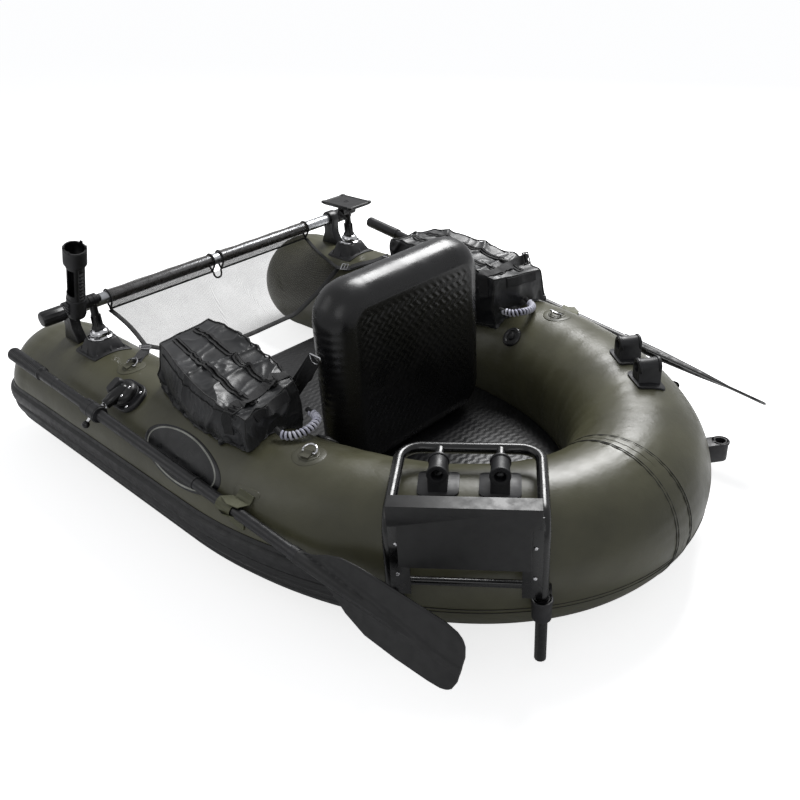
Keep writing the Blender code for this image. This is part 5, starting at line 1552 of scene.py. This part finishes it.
# motor mount: quarter of the stern that it sits on, and places of its hoop and sockets
MOUNT_DEG, MOUNT_SHIFT, HOOP_Z, HOOP_OUT, HOOP_R, STUB_HALF = 49.5, 0.012, 0.336, 0.168, 0.0110, 0.056


def mount_axes(s):
    """On the floor under the mount: its middle, along the tube and outward."""
    c, n = bend(MOUNT_DEG)
    u = Vector((-n.y, n.x, 0))
    return flip(c - Z * TUBE_R + u * MOUNT_SHIFT, s), flip(u, s), flip(n, s)


def mount_trim():
    """Socket lips on both quarters, and the board's screws."""
    for tag, s in SIDES:
        o, u, n = mount_axes(s)
        parts = []
        for off in (-STUB_HALF, STUB_HALF):
            for h in (-0.0062, 0.0372):
                parts.append(washer(o + u * off + Z * HOOP_Z + n * h, n, 0.0122, 0.0196, 0.0060, 0))
        for off in (-0.130, 0.130):
            at = o + u * off + n * HOOP_OUT + Z * (0.150 - 0.022)
            parts.append(washer(at + Z * 0.0385, Z, 0.0122, 0.0196, 0.0055, 0))
        if s > 0:
            for off in (-0.1165, 0.1165):
                for z in (0.225, 0.290):
                    parts.append(screw_head(o + u * off + n * (HOOP_OUT + HOOP_R) + Z * z, n, 0.0036, 1))
        piece("mount_trim_" + tag, parts, ("rubber", "chrome"), "hull", 35)


mount_trim()


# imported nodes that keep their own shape: material and width of the eased edges in mm
DRESSED = {
    "crossbar": ("bar", 0.4), "crossbar_cap_port": ("cap", 0.5), "crossbar_cap_starboard": ("cap", 0.5),
    "bar_clamp_port": ("plastic", 1.2), "bar_clamp_starboard": ("plastic", 1.2),
    "motor_mount_frame": ("paint", 0.5), "transom_board": ("board", 1.2),
}
for base_name, finish in {"valve": ("plastic", 0.5), "socket_top1": ("rubber", 1.2), "socket_top2": ("rubber", 1.2),
                          "socket_low1": ("rubber", 1.0), "socket_low2": ("rubber", 1.0)}.items():
    for side_name, _ in SIDES:
        DRESSED[base_name + "_" + side_name] = finish


def smoothing(limit_deg):
    """Node group that shades smooth, apart from edges sharper than the limit."""
    group = bpy.data.node_groups.new("smooth_shading", "GeometryNodeTree")
    group.interface.new_socket("Geometry", in_out="INPUT", socket_type="NodeSocketGeometry")
    group.interface.new_socket("Geometry", in_out="OUTPUT", socket_type="NodeSocketGeometry")
    incoming = add(group, "NodeGroupInput").outputs["Geometry"]
    angle = add(group, "GeometryNodeInputMeshEdgeAngle").outputs["Unsigned Angle"]
    flat_enough = add(group, "FunctionNodeCompare", {"A": angle, "B": math.radians(limit_deg)},
                      data_type="FLOAT", operation="LESS_THAN").outputs["Result"]
    faces = add(group, "GeometryNodeSetShadeSmooth", {"Geometry": incoming, "Shade Smooth": True}, domain="FACE")
    edges = add(group, "GeometryNodeSetShadeSmooth", {"Geometry": faces.outputs[0], "Shade Smooth": flat_enough},
                domain="EDGE")
    add(group, "NodeGroupOutput", {"Geometry": edges.outputs[0]})
    return group


def dress(name, key, edge_mm, group):
    """Material, welded corners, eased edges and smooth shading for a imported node."""
    ob = NODES[name]
    ob.data.materials.clear()
    ob.data.materials.append(MAT[key])
    ob.data.polygons.foreach_set("material_index", [0] * len(ob.data.polygons))
    weld = ob.modifiers.new("weld", "WELD")
    weld.merge_threshold = 0.00001
    bevel = ob.modifiers.new("eased_edges", "BEVEL")
    bevel.width = edge_mm / 1000.0
    bevel.segments = 2
    bevel.limit_method = "ANGLE"
    bevel.angle_limit = math.radians(38)
    bevel.use_clamp_overlap = True
    smooth = ob.modifiers.new("smooth", "NODES")
    smooth.node_group = group


SHADING = smoothing(42.0)
for node_name, (finish_key, edge) in DRESSED.items():
    if not NODES[node_name].hide_render:
        dress(node_name, finish_key, edge, SHADING)


# studio: white surroundings, a broad soft light overhead and two soft sides
def studio():
    world = bpy.data.worlds.new("studio")
    bpy.context.scene.world = world
    world.use_nodes = True
    tree = world.node_tree
    tree.nodes.clear()
    rays = add(tree, "ShaderNodeLightPath")
    # mirrors see the white surroundings too, dimmed, as the dark parts of a studio dim them
    mirrored = add(tree, "ShaderNodeMath", {0: rays.outputs["Is Glossy Ray"], 1: 0.30}, operation="MULTIPLY")
    seen = add(tree, "ShaderNodeMath", {0: rays.outputs["Is Camera Ray"], 1: mirrored.outputs[0]},
               operation="MAXIMUM")
    seen = add(tree, "ShaderNodeMath", {0: seen.outputs[0], 1: rays.outputs["Is Transmission Ray"]},
               operation="MAXIMUM")
    light = add(tree, "ShaderNodeBackground", {"Color": linear("#f4f6fa"), "Strength": 0.30})
    white = add(tree, "ShaderNodeBackground", {"Color": (1, 1, 1, 1), "Strength": 1.0})
    mix = add(tree, "ShaderNodeMixShader", {0: seen.outputs[0], 1: light.outputs[0], 2: white.outputs[0]})
    add(tree, "ShaderNodeOutputWorld", {"Surface": mix.outputs[0]})

    for name, place, look_at, size, power in (
            ("overhead", (-1.95, -0.50, 2.60), (0, 0, 0.2), 1.5, 108.0),
            ("stern_side", (2.6, 2.2, 2.0), (0, 0.2, 0.2), 1.8, 9.0),
            ("port_side", (2.4, -1.6, 2.4), (0, 0, 0.2), 1.8, 7.0)):
        data = bpy.data.lights.new(name, "AREA")
        data.shape = "SQUARE"
        data.size = size
        data.energy = power
        ob = bpy.data.objects.new(name, data)
        ob.location = place
        ob.rotation_euler = (Vector(look_at) - Vector(place)).to_track_quat("-Z", "Y").to_euler()
        bpy.context.scene.collection.objects.link(ob)

    mesh = bpy.data.meshes.new("studio_floor")
    reach = 30.0
    mesh.from_pydata([(-reach, -reach, 0), (reach, -reach, 0), (reach, reach, 0), (-reach, reach, 0)], [],
                     [(0, 1, 2, 3)])
    floor = bpy.data.objects.new("studio_floor", mesh)
    bpy.context.scene.collection.objects.link(floor)
    mat = bpy.data.materials.new("white_sweep")
    mat.use_nodes = True
    tree = mat.node_tree
    tree.nodes.clear()
    rays = add(tree, "ShaderNodeLightPath")
    paper = add(tree, "ShaderNodeBsdfDiffuse", {"Color": linear("#f2f2f2")})
    glow = add(tree, "ShaderNodeEmission", {"Color": (1, 1, 1, 1), "Strength": 0.74})
    both = add(tree, "ShaderNodeAddShader", {0: paper.outputs[0], 1: glow.outputs[0]})
    mix = add(tree, "ShaderNodeMixShader", {0: rays.outputs["Is Camera Ray"], 1: paper.outputs[0],
                                            2: both.outputs[0]})
    add(tree, "ShaderNodeOutputMaterial", {"Surface": mix.outputs[0]})
    mesh.materials.append(mat)


studio()
bpy.context.scene.view_settings.view_transform = "Standard"
